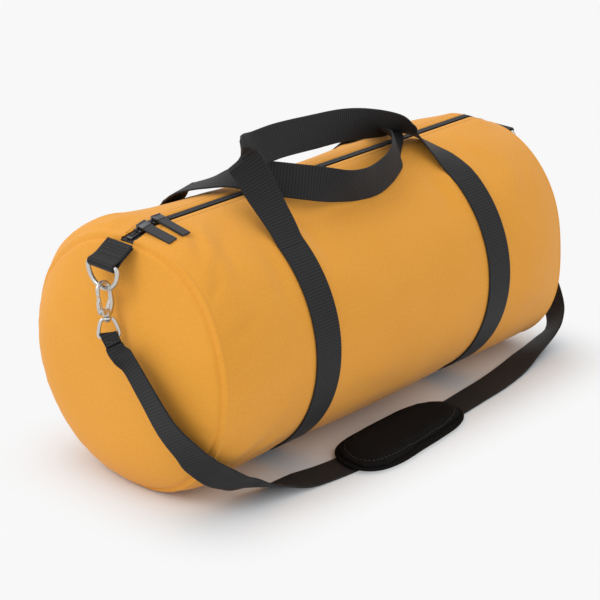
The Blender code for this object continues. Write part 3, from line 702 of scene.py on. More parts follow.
def makeWeb(side, sign):
    radius = bag["radius"] + bag["gap"] + webbing["thickness"] / 2
    start = bag["sewnDegrees"] - webs["overlap"]
    stations = []
    run = 0.0
    count = webs["steps"]
    before = None
    for i in range(count + 1):
        degrees = start + (360 - 2 * start) * i / count
        centre = roundPoint(sign * bag["webX"], degrees, radius)
        centre.z = max(centre.z, webbing["thickness"] / 2 + webs["floorGap"])
        if before is not None:
            run += (centre - before).length
        before = centre
        stations.append((centre, Vector((1, 0, 0)), webbing["width"], run))
    obj = weaveBand("carryWeb." + side, stations, webbing, 0.0)
    dress(obj, blackWeb, "bag", "webbing", "web_" + side)


# each row is a point in millimetres and the way across the band there
handles = dict(rootY=0.07432, rootZ=0.20334, front=[
    ((-115, -69.2, 208.3), (1, 0, 0)),
    ((-115, -61.8, 217.7), (1, -0.1, 0)),
    ((-116, -44.7, 237.5), (0.89, -0.44, -0.09)),
    ((-118, -36.3, 250.1), (0.88, -0.43, 0.12)),
    ((-121, -30.7, 261.3), (0.76, -0.47, 0.44)),
    ((-124.6, -27.6, 268.4), (0.72, -0.50, 0.46)),
    ((-125.0, -26.0, 270.5), (0.24, -0.78, 0.57)),
    ((-123.7, -24.3, 272.2), (-0.27, -0.58, 0.76)),
    ((-121.3, -23.9, 273.3), (-0.43, -0.04, 0.90)),
    ((-112, -21, 273.2), (-0.2, 0.3, 0.93)),
    ((-96.7, -17, 271.1), (0.02, 0.50, 0.87)),
    ((-67.9, -15, 270.9), (-0.01, 0.40, 0.91)),
    ((-23.4, -12, 267.1), (-0.13, 0.23, 0.96)),
    ((17.5, -9, 262.9), (-0.16, 0.05, 0.99)),
    ((53.5, -8, 255.9), (-0.29, -0.20, 0.94)),
    ((85.1, -10.5, 247.5), (-0.45, -0.42, 0.79)),
    ((98.2, -15, 241.9), (-0.54, -0.57, 0.62)),
    ((105.4, -21, 236.3), (-0.68, -0.63, 0.38)),
    ((111.7, -35, 226.5), (-0.85, -0.50, 0.17)),
    ((115, -49, 218.4), (-0.97, -0.23, 0.04)),
    ((115, -64, 210.2), (-1, 0, 0)),
], rear=[
    ((-115, 69.2, 208.3), (1, 0, 0)),
    ((-117.3, 61.3, 216.8), (1, 0.1, 0)),
    ((-120.8, 48.4, 225.7), (0.85, 0.45, -0.1)),
    ((-112.7, 26.3, 234.4), (0.75, 0.6, -0.05)),
    ((-101, 4.1, 242.5), (0.7, 0.5, 0.35)),
    ((-88, -20, 243), (0.45, 0.3, 0.84)),
    ((-65.2, -45, 239.2), (0.28, 0.26, 0.92)),
    ((-34.3, -56, 230.9), (-0.11, -0.11, 0.99)),
    ((-9.4, -58, 226.9), (-0.36, -0.13, 0.93)),
    ((15.1, -55, 226), (-0.64, -0.08, 0.77)),
    ((38.1, -49, 229.1), (-0.81, -0.22, 0.54)),
    ((56.6, -40, 233.2), (-0.84, -0.40, 0.37)),
    ((69.6, -27, 237.5), (-0.72, -0.61, 0.33)),
    ((81.5, -9, 241.2), (-0.88, -0.41, 0.22)),
    ((96.8, 15, 237.2), (-0.97, -0.20, 0.12)),
    ((111, 40.1, 227.9), (-1, -0.1, 0)),
    ((115, 61.2, 214.6), (-1, 0, 0)),
])


def makeHandle(half, sign):
    root = Vector((bag["webX"], sign * handles["rootY"], handles["rootZ"]))
    centres = [Vector((-root.x, root.y, root.z))]
    across = [Vector((1, 0, 0))]
    for point, direction in handles[half]:
        centres.append(Vector(point) / 1000)
        across.append(Vector(direction).normalized())
    centres.append(root)
    across.append(Vector((-1, 0, 0)))
    widths = [webbing["width"]] * len(centres)
    stations = evenStations(centres, across, widths, webbing["ribPitch"] / 4)
    obj = weaveBand("carryHandle." + half, stations, webbing)
    dress(obj, blackWeb, half + "_handle", "webbing", "handle_" + half)


for sideName, sideSign in sides.items():
    makeWeb(sideName, sideSign)
makeHandle("front", -1)
makeHandle("rear", 1)
print("webs and handles made")


# bag cloth: the barrel is cut as one flat sheet and rolled, then slumps, sags and puckers
# each row is degrees from the top with the front minus, then millimetres

barrel = dict(alongCuts=150, roundCuts=196, alongCrowd=0.84, roundCrowd=0.66, thickness=0.0012,
              slot=0.0050, slotEnd=0.0078, slotFrom=0.205, slotTo=0.231, fold=0.0013, foldWide=0.0016,
              stitchFrom=0.0115, stitchDip=0.0004, stitchDipWide=0.0012,
              tuck=0.0040, tuckWide=0.0024, ridge=0.0007, ridgeAt=0.0026, ridgeWide=0.0013,
              sag=0.0052, sagAt=33, sagWide=21, slack=0.0011, fineSlack=0.0006, full=0.0010,
              pucker=0.0010, puckerWide=0.016, creaseScale=1.6, puffAt=0.022, puffWide=0.024, puffFrom=0.010,
              draw=dict(left=0.045, right=0.085), zipFall=dict(left=0.0065, right=0.0120),
              zipFlat=0.2015, zipBend=1.25, zipKeep=(0.012, 0.036), floorGap=0.0005)
seamShape = dict(
    left=[(0, 108), (-12, 109), (-24, 112), (-40, 113.5), (-55, 112.5), (-70, 112), (-90, 111.5),
          (-108, 110.5), (-122, 109.5), (-138, 111.5), (-152, 114.5), (-166, 115), (180, 114.8), (166, 115.5),
          (150, 116.5), (120, 116), (90, 116), (70, 115), (55, 112.5), (40, 110), (24, 109.5), (12, 108.5)],
    right=[(0, 102.5), (-15, 104), (-30, 103), (-60, 99), (-80, 96.5), (-92, 97), (-104, 101), (-116, 107.5),
           (-128, 112.5), (-140, 116.5), (-152, 118), (-166, 116), (180, 114.8), (150, 116), (120, 110),
           (90, 106), (60, 104), (30, 103.5), (15, 103)],
    pull=[(0, 0), (-20, 2), (-38, 4.5), (-55, 2.5), (-75, 0), (180, 0), (90, 0), (40, 0)],
    puff=[(0, 0), (-20, 1), (-40, 1.5), (-60, 0.5), (-90, 0.5), (-120, 1), (-140, 2.5), (-152, 3.5),
          (-166, 2), (180, 0), (150, 4), (120, 4), (90, 5), (70, 8), (55, 10), (40, 9), (28, 7), (15, 4),
          (6, 1)],
    low=[(0, 0), (-110, 0), (-125, 0.6), (-138, 1.4), (-150, 1.8), (-160, 1.4), (-170, 0.4), (180, 0),
         (170, 0.4), (160, 1.4), (150, 1.8), (138, 1.4), (125, 0.6), (110, 0)])
# x mm, degrees from the top, length mm, width mm, turn in degrees, depth mm
creases = [(-196, -22, 26, 6, 62, 1.2), (-178, -30, 34, 8, 75, 1.1), (-160, -20, 30, 9, 80, 0.8),
           (-206, -40, 22, 5, 40, 0.9), (-214, -66, 20, 4.5, 14, 1.2), (-146, -52, 26, 8, 84, 0.8),
           (-88, -36, 24, 9, 96, 0.8), (-60, -22, 40, 10, 20, 0.6), (80, -40, 26, 9, 80, 0.8),
           (150, -30, 36, 10, 100, 0.7), (190, -48, 26, 8, 60, 0.7), (-200, -128, 34, 8, 30, 1.5),
           (-170, -134, 40, 9, 12, 1.1), (196, -118, 30, 8, -24, 1.1), (-200, 30, 26, 6, -60, 1.4),
           (-176, 44, 32, 9, -74, 1.1), (40, 36, 60, 12, 8, 0.8), (180, 40, 30, 8, 70, 1.0),
           (-206, 84, 24, 5, -12, 1.1), (204, 96, 24, 5, 16, 1.1), (-190, 130, 36, 9, -28, 1.3),
           (188, 132, 36, 9, 24, 1.3), (60, 120, 50, 12, 6, 0.7), (-50, -118, 46, 12, -8, 0.6),
           (-218, -84, 13, 3.5, 20, 1.0), (-216, -96, 15, 3.5, -14, 1.1), (-214, -46, 15, 3.5, 30, 0.9),
           (-190, -13, 15, 4.5, 70, 0.9), (-205, -16, 12, 3.5, 80, 0.9), (-208, 20, 14, 4, -40, 0.9)]


def evenTable(rows):
    rows = sorted(rows)
    known = [(d - 360, v) for d, v in rows[-2:]] + rows + [(d + 360, v) for d, v in rows[:2]]
    plain = []
    for degree in range(-180, 180):
        for (d0, v0), (d1, v1) in zip(known, known[1:]):
            if d0 <= degree <= d1:
                plain.append(v0 + (v1 - v0) * (degree - d0) / (d1 - d0))
                break
    spread = range(-24, 25)
    weights = [math.exp(-(k / 9) ** 2) for k in spread]
    total = sum(weights) * 1000
    return [sum(w * plain[(i + k) % 360] for w, k in zip(weights, spread)) / total for i in range(360)]


def around(table, degrees):
    place = (degrees + 180) % 360
    i = int(place)
    t = place - i
    return table[i % 360] * (1 - t) + table[(i + 1) % 360] * t


seamTable = {name: evenTable(rows) for name, rows in seamShape.items()}


def zipRadius(x):
    past = max(0.0, abs(x) - barrel["zipFlat"]) / (bag["halfLength"] - barrel["zipFlat"])
    return bag["radius"] - barrel["zipFall"]["left" if x < 0 else "right"] * past ** barrel["zipBend"]


def slotHalf(x):
    spread = ease(barrel["slotFrom"], barrel["slotTo"], abs(x))
    return barrel["slot"] + (barrel["slotEnd"] - barrel["slot"]) * spread


def creaseDepth(x, degrees):
    total = 0.0
    for x0, degrees0, long, wide, turn, depth in creases:
        a = x * 1000 - x0
        b = math.radians(degrees - degrees0) * bag["radius"] * 1000
        if abs(a) > 3 * long or abs(b) > 3 * long:
            continue
        c = math.cos(math.radians(turn))
        s = math.sin(math.radians(turn))
        along = (a * c + b * s) / long
        over = (b * c - a * s) / wide
        shape = -math.exp(-over * over) + 0.55 * math.exp(-((over - 1.9) / 1.4) ** 2)
        total += barrel["creaseScale"] * depth / 1000 * shape * math.exp(-along * along)
    return total


def webKeep(x, degrees):
    away = ease(0.0165, 0.032, abs(abs(x) - bag["webX"]))
    return 1 - (1 - away) * ease(26, 36, abs(degrees))          # the cloth is flat under the webs


def clothMove(x, degrees):
    turn = abs(degrees)
    place = Vector((x * 16, math.sin(math.radians(degrees)) * 2.1, math.cos(math.radians(degrees)) * 2.1))
    slack = barrel["slack"] * noise.noise(place)
    slack += barrel["fineSlack"] * noise.noise(place * 2.3 + Vector((7, 3, 1)))
    sag = -barrel["sag"] * math.exp(-((turn - barrel["sagAt"]) / barrel["sagWide"]) ** 2)
    sag *= 1 - ease(0.05, 0.195, abs(x))
    full = barrel["full"] * ease(0.014, 0.05, abs(abs(x) - bag["webX"]))
    loose = sag + slack + full + creaseDepth(x, degrees) + around(seamTable["low"], degrees)
    fromSeam = bag["halfLength"] - abs(x)
    gather = noise.noise(Vector((degrees * 0.13, x * 9, 4.0)))
    gather += 0.6 * noise.noise(Vector((degrees * 0.31, x * 6, 9.0)))
    pucker = barrel["pucker"] * gather * math.exp(-(fromSeam / barrel["puckerWide"]) ** 2)
    pucker *= ease(0.0, 0.006, fromSeam)
    low = 1 - ease(150, 166, turn)                              # flat where it lies on the floor
    return low * (webKeep(x, degrees) * loose + pucker)


def clothPoint(x, degrees, lower=0.0):
    side = "left" if x < 0 else "right"
    fromSeam = bag["halfLength"] - abs(x)
    past = max(0.0, 1 - fromSeam / barrel["draw"][side]) ** 2
    shaped = bag["radius"] + (around(seamTable[side], degrees) - bag["radius"]) * past
    if x < 0:
        puff = math.exp(-((fromSeam - barrel["puffAt"]) / barrel["puffWide"]) ** 2)
        shaped += around(seamTable["puff"], degrees) * puff * min(1.0, fromSeam / barrel["puffFrom"])
    shaped += clothMove(x, degrees) * (1 - past)
    fromZip = math.radians(abs(degrees)) * bag["radius"]
    along = zipRadius(x)
    # the zip line keeps its shape
    radius = along + (shaped - along) * ease(*barrel["zipKeep"], fromZip) - lower
    radius += barrel["ridge"] * math.exp(-((fromSeam - barrel["ridgeAt"]) / barrel["ridgeWide"]) ** 2)
    radius -= barrel["tuck"] * max(0.0, 1 - fromSeam / barrel["tuckWide"]) ** 2
    radius -= barrel["fold"] * math.exp(-((fromZip - slotHalf(x)) / barrel["foldWide"]) ** 2)
    fromStitch = (fromZip - barrel["stitchFrom"]) / barrel["stitchDipWide"]
    radius -= barrel["stitchDip"] * math.exp(-fromStitch ** 2)
    pull = around(seamTable["pull"], degrees) * past if x < 0 else 0.0
    spot = roundPoint(x + pull, degrees, radius)
    spot.z = max(spot.z, bag["lowest"] * (1 - past) + barrel["floorGap"] * past + lower)
    return spot


def crowd(t, share):
    return (1 - share) * t + share * math.sin(math.pi / 2 * t)      # closer together at the ends


def makeBarrel():
    clearSelection()
    bpy.ops.mesh.primitive_grid_add(x_subdivisions=barrel["alongCuts"], y_subdivisions=barrel["roundCuts"],
                                    size=2)
    obj = bpy.context.object
    obj.name = "barrelCloth"
    mesh = obj.data
    places = []
    for v in mesh.vertices:
        x = bag["halfLength"] * crowd(v.co.x, barrel["alongCrowd"])
        edge = math.degrees(slotHalf(x) / bag["radius"])
        degrees = 180 + (180 - edge) * crowd(v.co.y, barrel["roundCrowd"])
        places.append((x, degrees))
    for v, (x, degrees) in zip(mesh.vertices, places):
        v.co = clothPoint(x, degrees if degrees <= 180 else degrees - 360)
    layer = mesh.uv_layers[0]
    layer.name = "cut"
    for loop in mesh.loops:
        x, degrees = places[loop.vertex_index]
        layer.data[loop.index].uv = (x, math.radians(degrees) * bag["radius"])
    faceOutwards(obj)
    middle = Vector((0, 0, bag["axisZ"]))
    if sum(p.normal.dot(p.center - middle) for p in mesh.polygons) < 0:
        mesh.flip_normals()
    applyModifier(obj, "SOLIDIFY", thickness=barrel["thickness"], offset=-1)
    smoothShade(obj, 60)
    dress(obj, orangeCloth, "bag", "bag_cloth", "barrel_panel")


makeBarrel()
print("barrel cloth made")


# end panels, sewn in at the seam and domed by what is inside

endPanel = dict(points=160, rings=34, bulge=dict(left=0.0215, right=0.0160), thickness=0.0012,
                edgeIn=0.0034, edgeBack=0.0004, edgeStep=0.0026, edgeShare=0.022, floorGap=0.0006,
                pucker=0.0010, slack=0.0011, tabPull=0.0020, tabSide=0.0008,
                dome=dict(left=[(0, 2.3), (-60, 2.6), (-100, 3.0), (-150, 5), (180, 7), (140, 8), (100, 8),
                                (70, 6), (50, 3.5), (30, 2.5)],
                          right=[(0, 2.4), (-90, 2.8), (180, 5), (90, 2.8)]))
domeTable = {side: [v * 1000 for v in evenTable(rows)] for side, rows in endPanel["dome"].items()}


def endMove(y, z, share, sign):
    turn = math.degrees(math.atan2(y, z))
    gather = noise.noise(Vector((turn * 0.16, 5.0 * sign, 2.0)))
    gather += 0.6 * noise.noise(Vector((turn * 0.37, 3.0, 8.0 * sign)))
    rim = math.exp(-((1 - share) / 0.11) ** 2) * ease(0.0, 0.03, 1 - share)
    slack = noise.noise(Vector((y * 15, z * 15, 6.0 * sign)))
    # drawn in under the ring tab, with a soft fold at each side of it
    pull = endPanel["tabPull"] * math.exp(-((z - 0.062) / 0.030) ** 2 - (y / 0.028) ** 2)
    side = endPanel["tabSide"] * math.exp(-((z - 0.045) / 0.040) ** 2 - ((abs(y) - 0.03) / 0.012) ** 2)
    return endPanel["pucker"] * gather * rim + endPanel["slack"] * slack * (1 - share ** 4) - pull + side


def makeEndPanel(side, sign):
    clearSelection()
    bpy.ops.mesh.primitive_circle_add(vertices=endPanel["points"], radius=1.0, fill_type="NOTHING",
                                      rotation=(0, math.pi / 2, 0))
    obj = settle(bpy.context.object)
    obj.name = "endCloth." + side
    bpy.ops.object.mode_set(mode="EDIT")
    bpy.ops.mesh.select_all(action="SELECT")
    before = 1.0
    for i in range(1, endPanel["rings"]):
        share = math.sin(math.pi / 2 * (1 - i / endPanel["rings"]))
        bpy.ops.mesh.extrude_edges_move()
        bpy.ops.transform.resize(value=(share / before,) * 3, center_override=(0, 0, 0))
        before = share
    bpy.ops.mesh.extrude_edges_move()
    bpy.ops.mesh.merge(type="CENTER")
    bpy.ops.object.mode_set(mode="OBJECT")
    faceOutwards(obj)
    mesh = obj.data
    for v in mesh.vertices:
        share = min(1.0, math.hypot(v.co.y, v.co.z))
        degrees = math.degrees(math.atan2(v.co.y, v.co.z))
        rim = around(seamTable[side], degrees) - endPanel["edgeIn"]
        y = v.co.y * rim
        z = v.co.z * rim
        out = bag["halfLength"] - endPanel["edgeBack"]
        out += endPanel["edgeStep"] * ease(0, endPanel["edgeShare"], 1 - share)
        dome = endPanel["bulge"][side] - endPanel["edgeStep"] + endPanel["edgeBack"]
        out += dome * (1 - share ** around(domeTable[side], degrees))
        out += endMove(y, z, share, sign)
        if side == "left":
            out -= around(seamTable["pull"], degrees) * share ** 3
        v.co = Vector((sign * out, y, max(bag["axisZ"] + z, endPanel["floorGap"])))
    layer = mesh.uv_layers[0] if mesh.uv_layers else mesh.uv_layers.new()
    layer.name = "cut"
    for loop in mesh.loops:
        spot = mesh.vertices[loop.vertex_index].co
        layer.data[loop.index].uv = (spot.y, spot.z)
    if sum(p.normal.x * sign for p in mesh.polygons) < 0:
        mesh.flip_normals()
    applyModifier(obj, "SOLIDIFY", thickness=endPanel["thickness"], offset=-1)
    smoothShade(obj, 60)
    dress(obj, orangeCloth, "bag", "bag_cloth", "end_panel_" + side)


for sideName, sideSign in sides.items():
    makeEndPanel(sideName, sideSign)
print("end panels made")


# binding tape over the raw edges inside each end seam

binding = dict(width=0.009, thickness=0.0009, ribPitch=weaveSizes["webRib"], ribDepth=0.00005, lower=0.0036,
               near=0.0030, far=0.0120, open=9, steps=180)


def makeBinding(side, sign):
    stations = []
    run = 0.0
    for i in range(binding["steps"] + 1):
        degrees = binding["open"] + (360 - 2 * binding["open"]) * i / binding["steps"]
        degrees = degrees if degrees <= 180 else degrees - 360
        near = clothPoint(sign * (bag["halfLength"] - binding["near"]), degrees, binding["lower"])
        far = clothPoint(sign * (bag["halfLength"] - binding["far"]), degrees, binding["lower"])
        spot = (near + far) / 2
        if stations:
            run += (spot - stations[-1][0]).length
        stations.append((spot, (far - near).normalized(), binding["width"], run))
    obj = weaveBand("seamBinding." + side, stations, binding)
    dress(obj, softWeb, "bag", "seam_binding", "seam_binding_" + side)


for sideName, sideSign in sides.items():
    makeBinding(sideName, sideSign)


# stitches and other small shapes that repeat are modelled once and copied

def copyMany(name, pattern, places):
    corners = [v.co.copy() for v in pattern.data.vertices]
    polygons = [tuple(p.vertices) for p in pattern.data.polygons]
    points = []
    faces = []
    for place in places:
        base = len(points)
        points += [place @ c for c in corners]
        faces += [tuple(base + k for k in p) for p in polygons]
    bpy.data.objects.remove(pattern, do_unlink=True)
    obj = pointsMesh(name, points, faces)
    smoothShade(obj, 50)
    return obj


def frameAt(spot, along, up):
    along = along.normalized()
    side = up.cross(along).normalized()
    turn = Matrix((along, side, along.cross(side))).transposed().to_4x4()
    return Matrix.Translation(spot) @ turn


def stitchPattern(length, wide, high):
    clearSelection()
    bpy.ops.mesh.primitive_uv_sphere_add(segments=6, ring_count=5, radius=0.5, rotation=(0, math.pi / 2, 0))
    obj = settle(bpy.context.object)
    pick(obj)
    bpy.ops.object.mode_set(mode="EDIT")
    bpy.ops.mesh.select_all(action="SELECT")
    bpy.ops.transform.resize(value=(length, wide, high), center_override=(0, 0, 0))
    bpy.ops.object.mode_set(mode="OBJECT")
    return obj


def sewLine(name, line, ups, stitch, material, body, slotName):
    run = runAlong(line)
    length = stitch["length"]
    places = []
    due = stitch["gap"]
    while due + length <= run[-1]:
        k, t = stepAt(run, due)
        start = line[k].lerp(line[k + 1], t)
        up = ups[k]
        k, t = stepAt(run, due + length)
        end = line[k].lerp(line[k + 1], t)
        places.append(frameAt((start + end) / 2, end - start, up))
        due += length + stitch["gap"]
    obj = copyMany(name, stitchPattern(length, stitch["wide"], stitch["high"]), places)
    return dress(obj, material, body, slotName)


topStitch = dict(length=0.0024, gap=0.0009, wide=0.00075, high=0.0005, reach=0.226, steps=140, inward=0.0030,
                 lift=0.00012)


def makeTopStitch(half, sign):
    line = []
    ups = []
    reach = topStitch["reach"]
    for i in range(topStitch["steps"] + 1):
        x = -reach + 2 * reach * i / topStitch["steps"]
        inward = topStitch["inward"] * ease(barrel["slotFrom"], reach, abs(x))
        degrees = sign * math.degrees((barrel["stitchFrom"] - inward) / bag["radius"])
        spot = clothPoint(x, degrees, -topStitch["lift"])
        line.append(spot)
        ups.append(Vector((0, spot.y, spot.z - bag["axisZ"])).normalized())
    sewLine("topStitch." + half, line, ups, topStitch, orangeThread, "bag", "bag_cloth")


makeTopStitch("front", -1)
makeTopStitch("rear", 1)
print("seams bound and stitched")


# zip: two tapes, two coils, stops, and two sliders with webbing pulls

zipSizes = dict(tapeRows=(0.00045, 0.0012, 0.0034, 0.006, 0.009, 0.0115), tapeDrop=0.0025, tapeThick=0.0008,
                tapeEnd=0.2324, tapeSteps=140, coilPitch=0.0016, coilIn=0.00032, coilOut=0.0031,
                coilLow=-0.0022, coilHigh=-0.0004, coilEnd=0.2268, coilWire=0.00105, coilBevel=0.00035,
                stopX=0.22875, stopLength=0.0025, stopBevel=0.0004, sliderX=dict(left=-0.2143, right=-0.1988))


def zipLine(x):
    side = "left" if x < 0 else "right"
    past = max(0.0, abs(x) - bag["shoulderX"]) / (bag["halfLength"] - bag["shoulderX"])
    return bag["axisZ"] + bag["radius"] - barrel["zipFall"][side] * past


def zipPlace(x):
    tilt = 0.0
    if abs(x) > bag["shoulderX"]:
        fall = barrel["zipFall"]["left" if x < 0 else "right"]
        tilt = math.copysign(math.atan2(fall, bag["halfLength"] - bag["shoulderX"]), x)
    return Matrix.Translation((x, 0, zipLine(x))) @ Matrix.Rotation(tilt, 4, "Y")


def makeZipTape(half, sign):
    across = zipSizes["tapeRows"]
    points = []
    uvs = []
    count = zipSizes["tapeSteps"]
    for i in range(count + 1):
        x = -zipSizes["tapeEnd"] + 2 * zipSizes["tapeEnd"] * i / count
        place = zipPlace(x)
        for layer in (0, 1):
            for y in across:
                bow = -y * y / (2 * bag["radius"])
                lift = -zipSizes["tapeDrop"] - layer * zipSizes["tapeThick"] + bow
                points.append(place @ Vector((0, sign * y, lift)))
                uvs.append((y, x))
    wide = len(across)
    ring = list(range(wide)) + list(range(2 * wide - 1, wide - 1, -1))
    faces = []
    for i in range(count):
        here = i * 2 * wide
        there = here + 2 * wide
        for a, b in zip(ring, ring[1:] + ring[:1]):
            faces.append((here + a, here + b, there + b, there + a))
    faces.append(tuple(ring))
    faces.append(tuple(count * 2 * wide + k for k in ring))
    obj = pointsMesh("zipTape." + half, points, faces, uvs)
    faceOutwards(obj)
    smoothShade(obj, 40)
    dress(obj, zipCloth, "bag", "zip_tape", "zip_tape_" + half)


def makeZipCoil(half, sign):
    clearSelection()
    low = zipSizes["coilLow"]
    high = zipSizes["coilHigh"]
    reach = zipSizes["coilOut"] - zipSizes["coilIn"]
    bpy.ops.mesh.primitive_cube_add(size=1, location=(0, (zipSizes["coilIn"] + zipSizes["coilOut"]) / 2,
                                                      (low + high) / 2),
                                    scale=(zipSizes["coilWire"], reach, high - low))
    tooth = settle(bpy.context.object)
    shapeWhere(tooth, lambda co: co.y < 0.001, move=(0.0003, 0, 0), scale=(1.25, 1, 0.8), centre=(0, 0, low))
    applyModifier(tooth, "BEVEL", width=zipSizes["coilBevel"], segments=1)
    places = []
    count = int(2 * zipSizes["coilEnd"] / zipSizes["coilPitch"])
    mirror = Matrix.Rotation(math.pi, 4, "Z") if sign < 0 else Matrix.Identity(4)
    for i in range(count):
        x = -zipSizes["coilEnd"] + (i + (0.25 if sign < 0 else 0.75)) * zipSizes["coilPitch"]
        if abs(x) > zipSizes["coilEnd"] - 0.0004:
            continue
        places.append(zipPlace(x) @ mirror)
    obj = copyMany("zipCoil." + half, tooth, places)
    dress(obj, coilNylon, "bag", "zip_coil", "zip_chain_" + half)


def makeZipStop(side, sign):
    low = zipSizes["coilLow"]
    half = zipSizes["stopLength"] / 2
    wide = zipSizes["coilOut"]
    obj = bevelBlock("zipStop." + side, (-half, -wide, low), (half, wide, zipSizes["coilHigh"]),
                     zipSizes["stopBevel"])
    shapeWhere(obj, lambda co: abs(co.y) < 0.0008 and co.z > -0.0012, move=(0, 0, 0.0002))
    settle(obj, zipPlace(sign * zipSizes["stopX"]))
    smoothShade(obj)
    dress(obj, gunmetal, "bag", "zip_metal", "zip_stop_" + side)


sliderSizes = dict(half=0.0064, width=0.0045, plate=0.0012, bottom=-0.0049, bevel=0.0004, tail=0.0015,
                   tailShare=0.72, post=(0.0004, 0.0042), postHalf=0.0003, flange=(0.0008, 0.0045),
                   flangeHalf=0.00035, flangeLow=-0.0014, flangeHigh=0.0006, footIn=0.0010, footOut=0.0008,
                   footHalf=0.0013, footHigh=0.0007, bridgeReach=0.0056, bridgeLift=0.0035, bridgeWire=0.0008,
                   bridgeFoot=0.0016, bridgeBend=[(0, 0.0008), (0.0003, 0.0003), (0.0009, 0)])


def makeSliderPlate(low):
    half = sliderSizes["half"]
    wide = sliderSizes["width"]
    high = low + sliderSizes["plate"]
    obj = bevelBlock("slider", (-half, -wide, low), (half, wide, high), sliderSizes["bevel"])
    shapeWhere(obj, lambda co: co.x > half - sliderSizes["tail"], scale=(1, sliderSizes["tailShare"], 1))
    return obj


def makeSlider(side):
    half = sliderSizes["half"]
    wide = sliderSizes["width"]
    plate = sliderSizes["plate"]
    bottom = sliderSizes["bottom"]
    reach = sliderSizes["bridgeReach"]
    top = makeSliderPlate(0)
    shapeWhere(top, lambda co: co.z > plate - 0.0003, scale=(0.93, 0.86, 1))
    under = makeSliderPlate(bottom)
    postFrom, postTo = sliderSizes["post"]
    post = bevelBlock("post", (-half + postFrom, -sliderSizes["postHalf"], bottom + 0.001),
                      (-half + postTo, sliderSizes["postHalf"], 0.0003), 0.0001, 1)
    parts = [top, under, post]
    flangeFrom, flangeTo = sliderSizes["flange"]
    thick = sliderSizes["flangeHalf"]
    for sign in (-1, 1):
        middle = sign * (wide - thick)
        parts.append(bevelBlock("flange", (-half + flangeFrom, middle - thick, sliderSizes["flangeLow"]),
                                (half - flangeTo, middle + thick, sliderSizes["flangeHigh"]), 0.0002, 2))
        footLow = (sign * reach - sliderSizes["footIn"], -sliderSizes["footHalf"], plate - 0.0004)
        footHigh = (sign * reach + sliderSizes["footOut"], sliderSizes["footHalf"],
                    plate + sliderSizes["footHigh"])
        parts.append(bevelBlock("foot", footLow, footHigh, 0.0003, 2))
    obj = joinPieces("zipSlider." + side, parts)
    place = zipPlace(zipSizes["sliderX"][side])
    settle(obj, place)
    smoothShade(obj)
    dress(obj, gunmetal, side + "_slider", "zip_metal", "slider_" + side)
    bend = [(0, sliderSizes["bridgeFoot"])]
    bend += [(inward, sliderSizes["bridgeLift"] - below) for inward, below in sliderSizes["bridgeBend"]]
    path = [Vector((-reach + x, 0, z)) for x, z in bend]
    path += [Vector((reach - x, 0, z)) for x, z in reversed(bend)]
    bridge = bentWire("sliderBridge." + side, path, sliderSizes["bridgeWire"])
    settle(bridge, place)
    dress(bridge, gunmetal, side + "_slider", "zip_metal", "slider_bridge_" + side)


def foldPath(inner, cloth, front, back, layer):
    turn = inner + cloth / 2
    path = [(front, layer), (2.6 * turn, layer)]
    for i in range(9):
        angle = math.radians(90 + 22.5 * i)
        path.append((turn * math.cos(angle), turn * math.sin(angle)))
    return path + [(2.6 * turn, -layer), (back, -layer)]


pullTab = dict(width=0.0088, thickness=0.0009, length=0.036, droop=10.0, ribPitch=0.0014, ribDepth=0.00010,
               clampFrom=-0.0017, clampTo=0.0064, clampWide=0.0050, clampThick=0.00165,
               clampBevel=0.0005, endStep=0.0004)


def makePull(side):
    place = zipPlace(zipSizes["sliderX"][side]) @ Matrix.Translation((0, 0, sliderSizes["bridgeLift"]))
    droop = math.radians(pullTab["droop"])
    out = Vector((0, -math.cos(droop), -math.sin(droop)))
    up = Vector((0, -math.sin(droop), math.cos(droop)))
    path = foldPath(sliderSizes["bridgeWire"] + bag["gap"], pullTab["thickness"], pullTab["length"],
                    pullTab["length"] - pullTab["endStep"], pullTab["thickness"] / 2 + bag["gap"] / 2)
    centres = [place @ (out * a + up * b) for a, b in path]
    obj = foldBand("pullTab." + side, centres, place.to_3x3() @ Vector((1, 0, 0)), pullTab["width"], pullTab)
    dress(obj, softWeb, side + "_pull", "webbing", "pull_tab_" + side)
    wide = pullTab["clampWide"]
    thick = pullTab["clampThick"]
    clamp = bevelBlock("pullClamp." + side, (-wide, pullTab["clampFrom"], -thick),
                       (wide, pullTab["clampTo"], thick), pullTab["clampBevel"])
    shapeWhere(clamp, lambda co: abs(co.z) > thick - 0.0002, scale=(0.96, 0.96, 1),
               centre=(0, (pullTab["clampFrom"] + pullTab["clampTo"]) / 2, 0))
    settle(clamp, place @ Matrix((Vector((1, 0, 0)), out, up)).transposed().to_4x4())
    faceOutwards(clamp)
    smoothShade(clamp)
    dress(clamp, gunmetal, side + "_pull", "zip_metal")


for halfName, halfSign in (("front", -1), ("rear", 1)):
    makeZipTape(halfName, halfSign)
    makeZipCoil(halfName, halfSign)
for sideName, sideSign in sides.items():
    makeZipStop(sideName, sideSign)
    makeSlider(sideName)
    makePull(sideName)
print("zip made")


# ring tabs, rings, swivel hooks and strap ends

foldLayer = webbing["thickness"] / 2 + bag["gap"]            # from the fold's middle to each layer's middle
foldTop = webbing["thickness"] + bag["gap"] + 0.0002        # from the fold's middle to a seam on top of it
ringSizes = dict(wire=0.0020, half=0.0175, limb=0.003, corner=0.0042)
ringTab = dict(webbing, ribDepth=0.00034, rootX=0.2380, rootZ=dict(left=0.2212, right=0.2098), front=0.0002,
               back=0.0010, seams=(0.42, 0.86), seamHalf=0.0135)
tabStitch = dict(length=0.0026, gap=0.0008, wide=0.0008, high=0.0005)


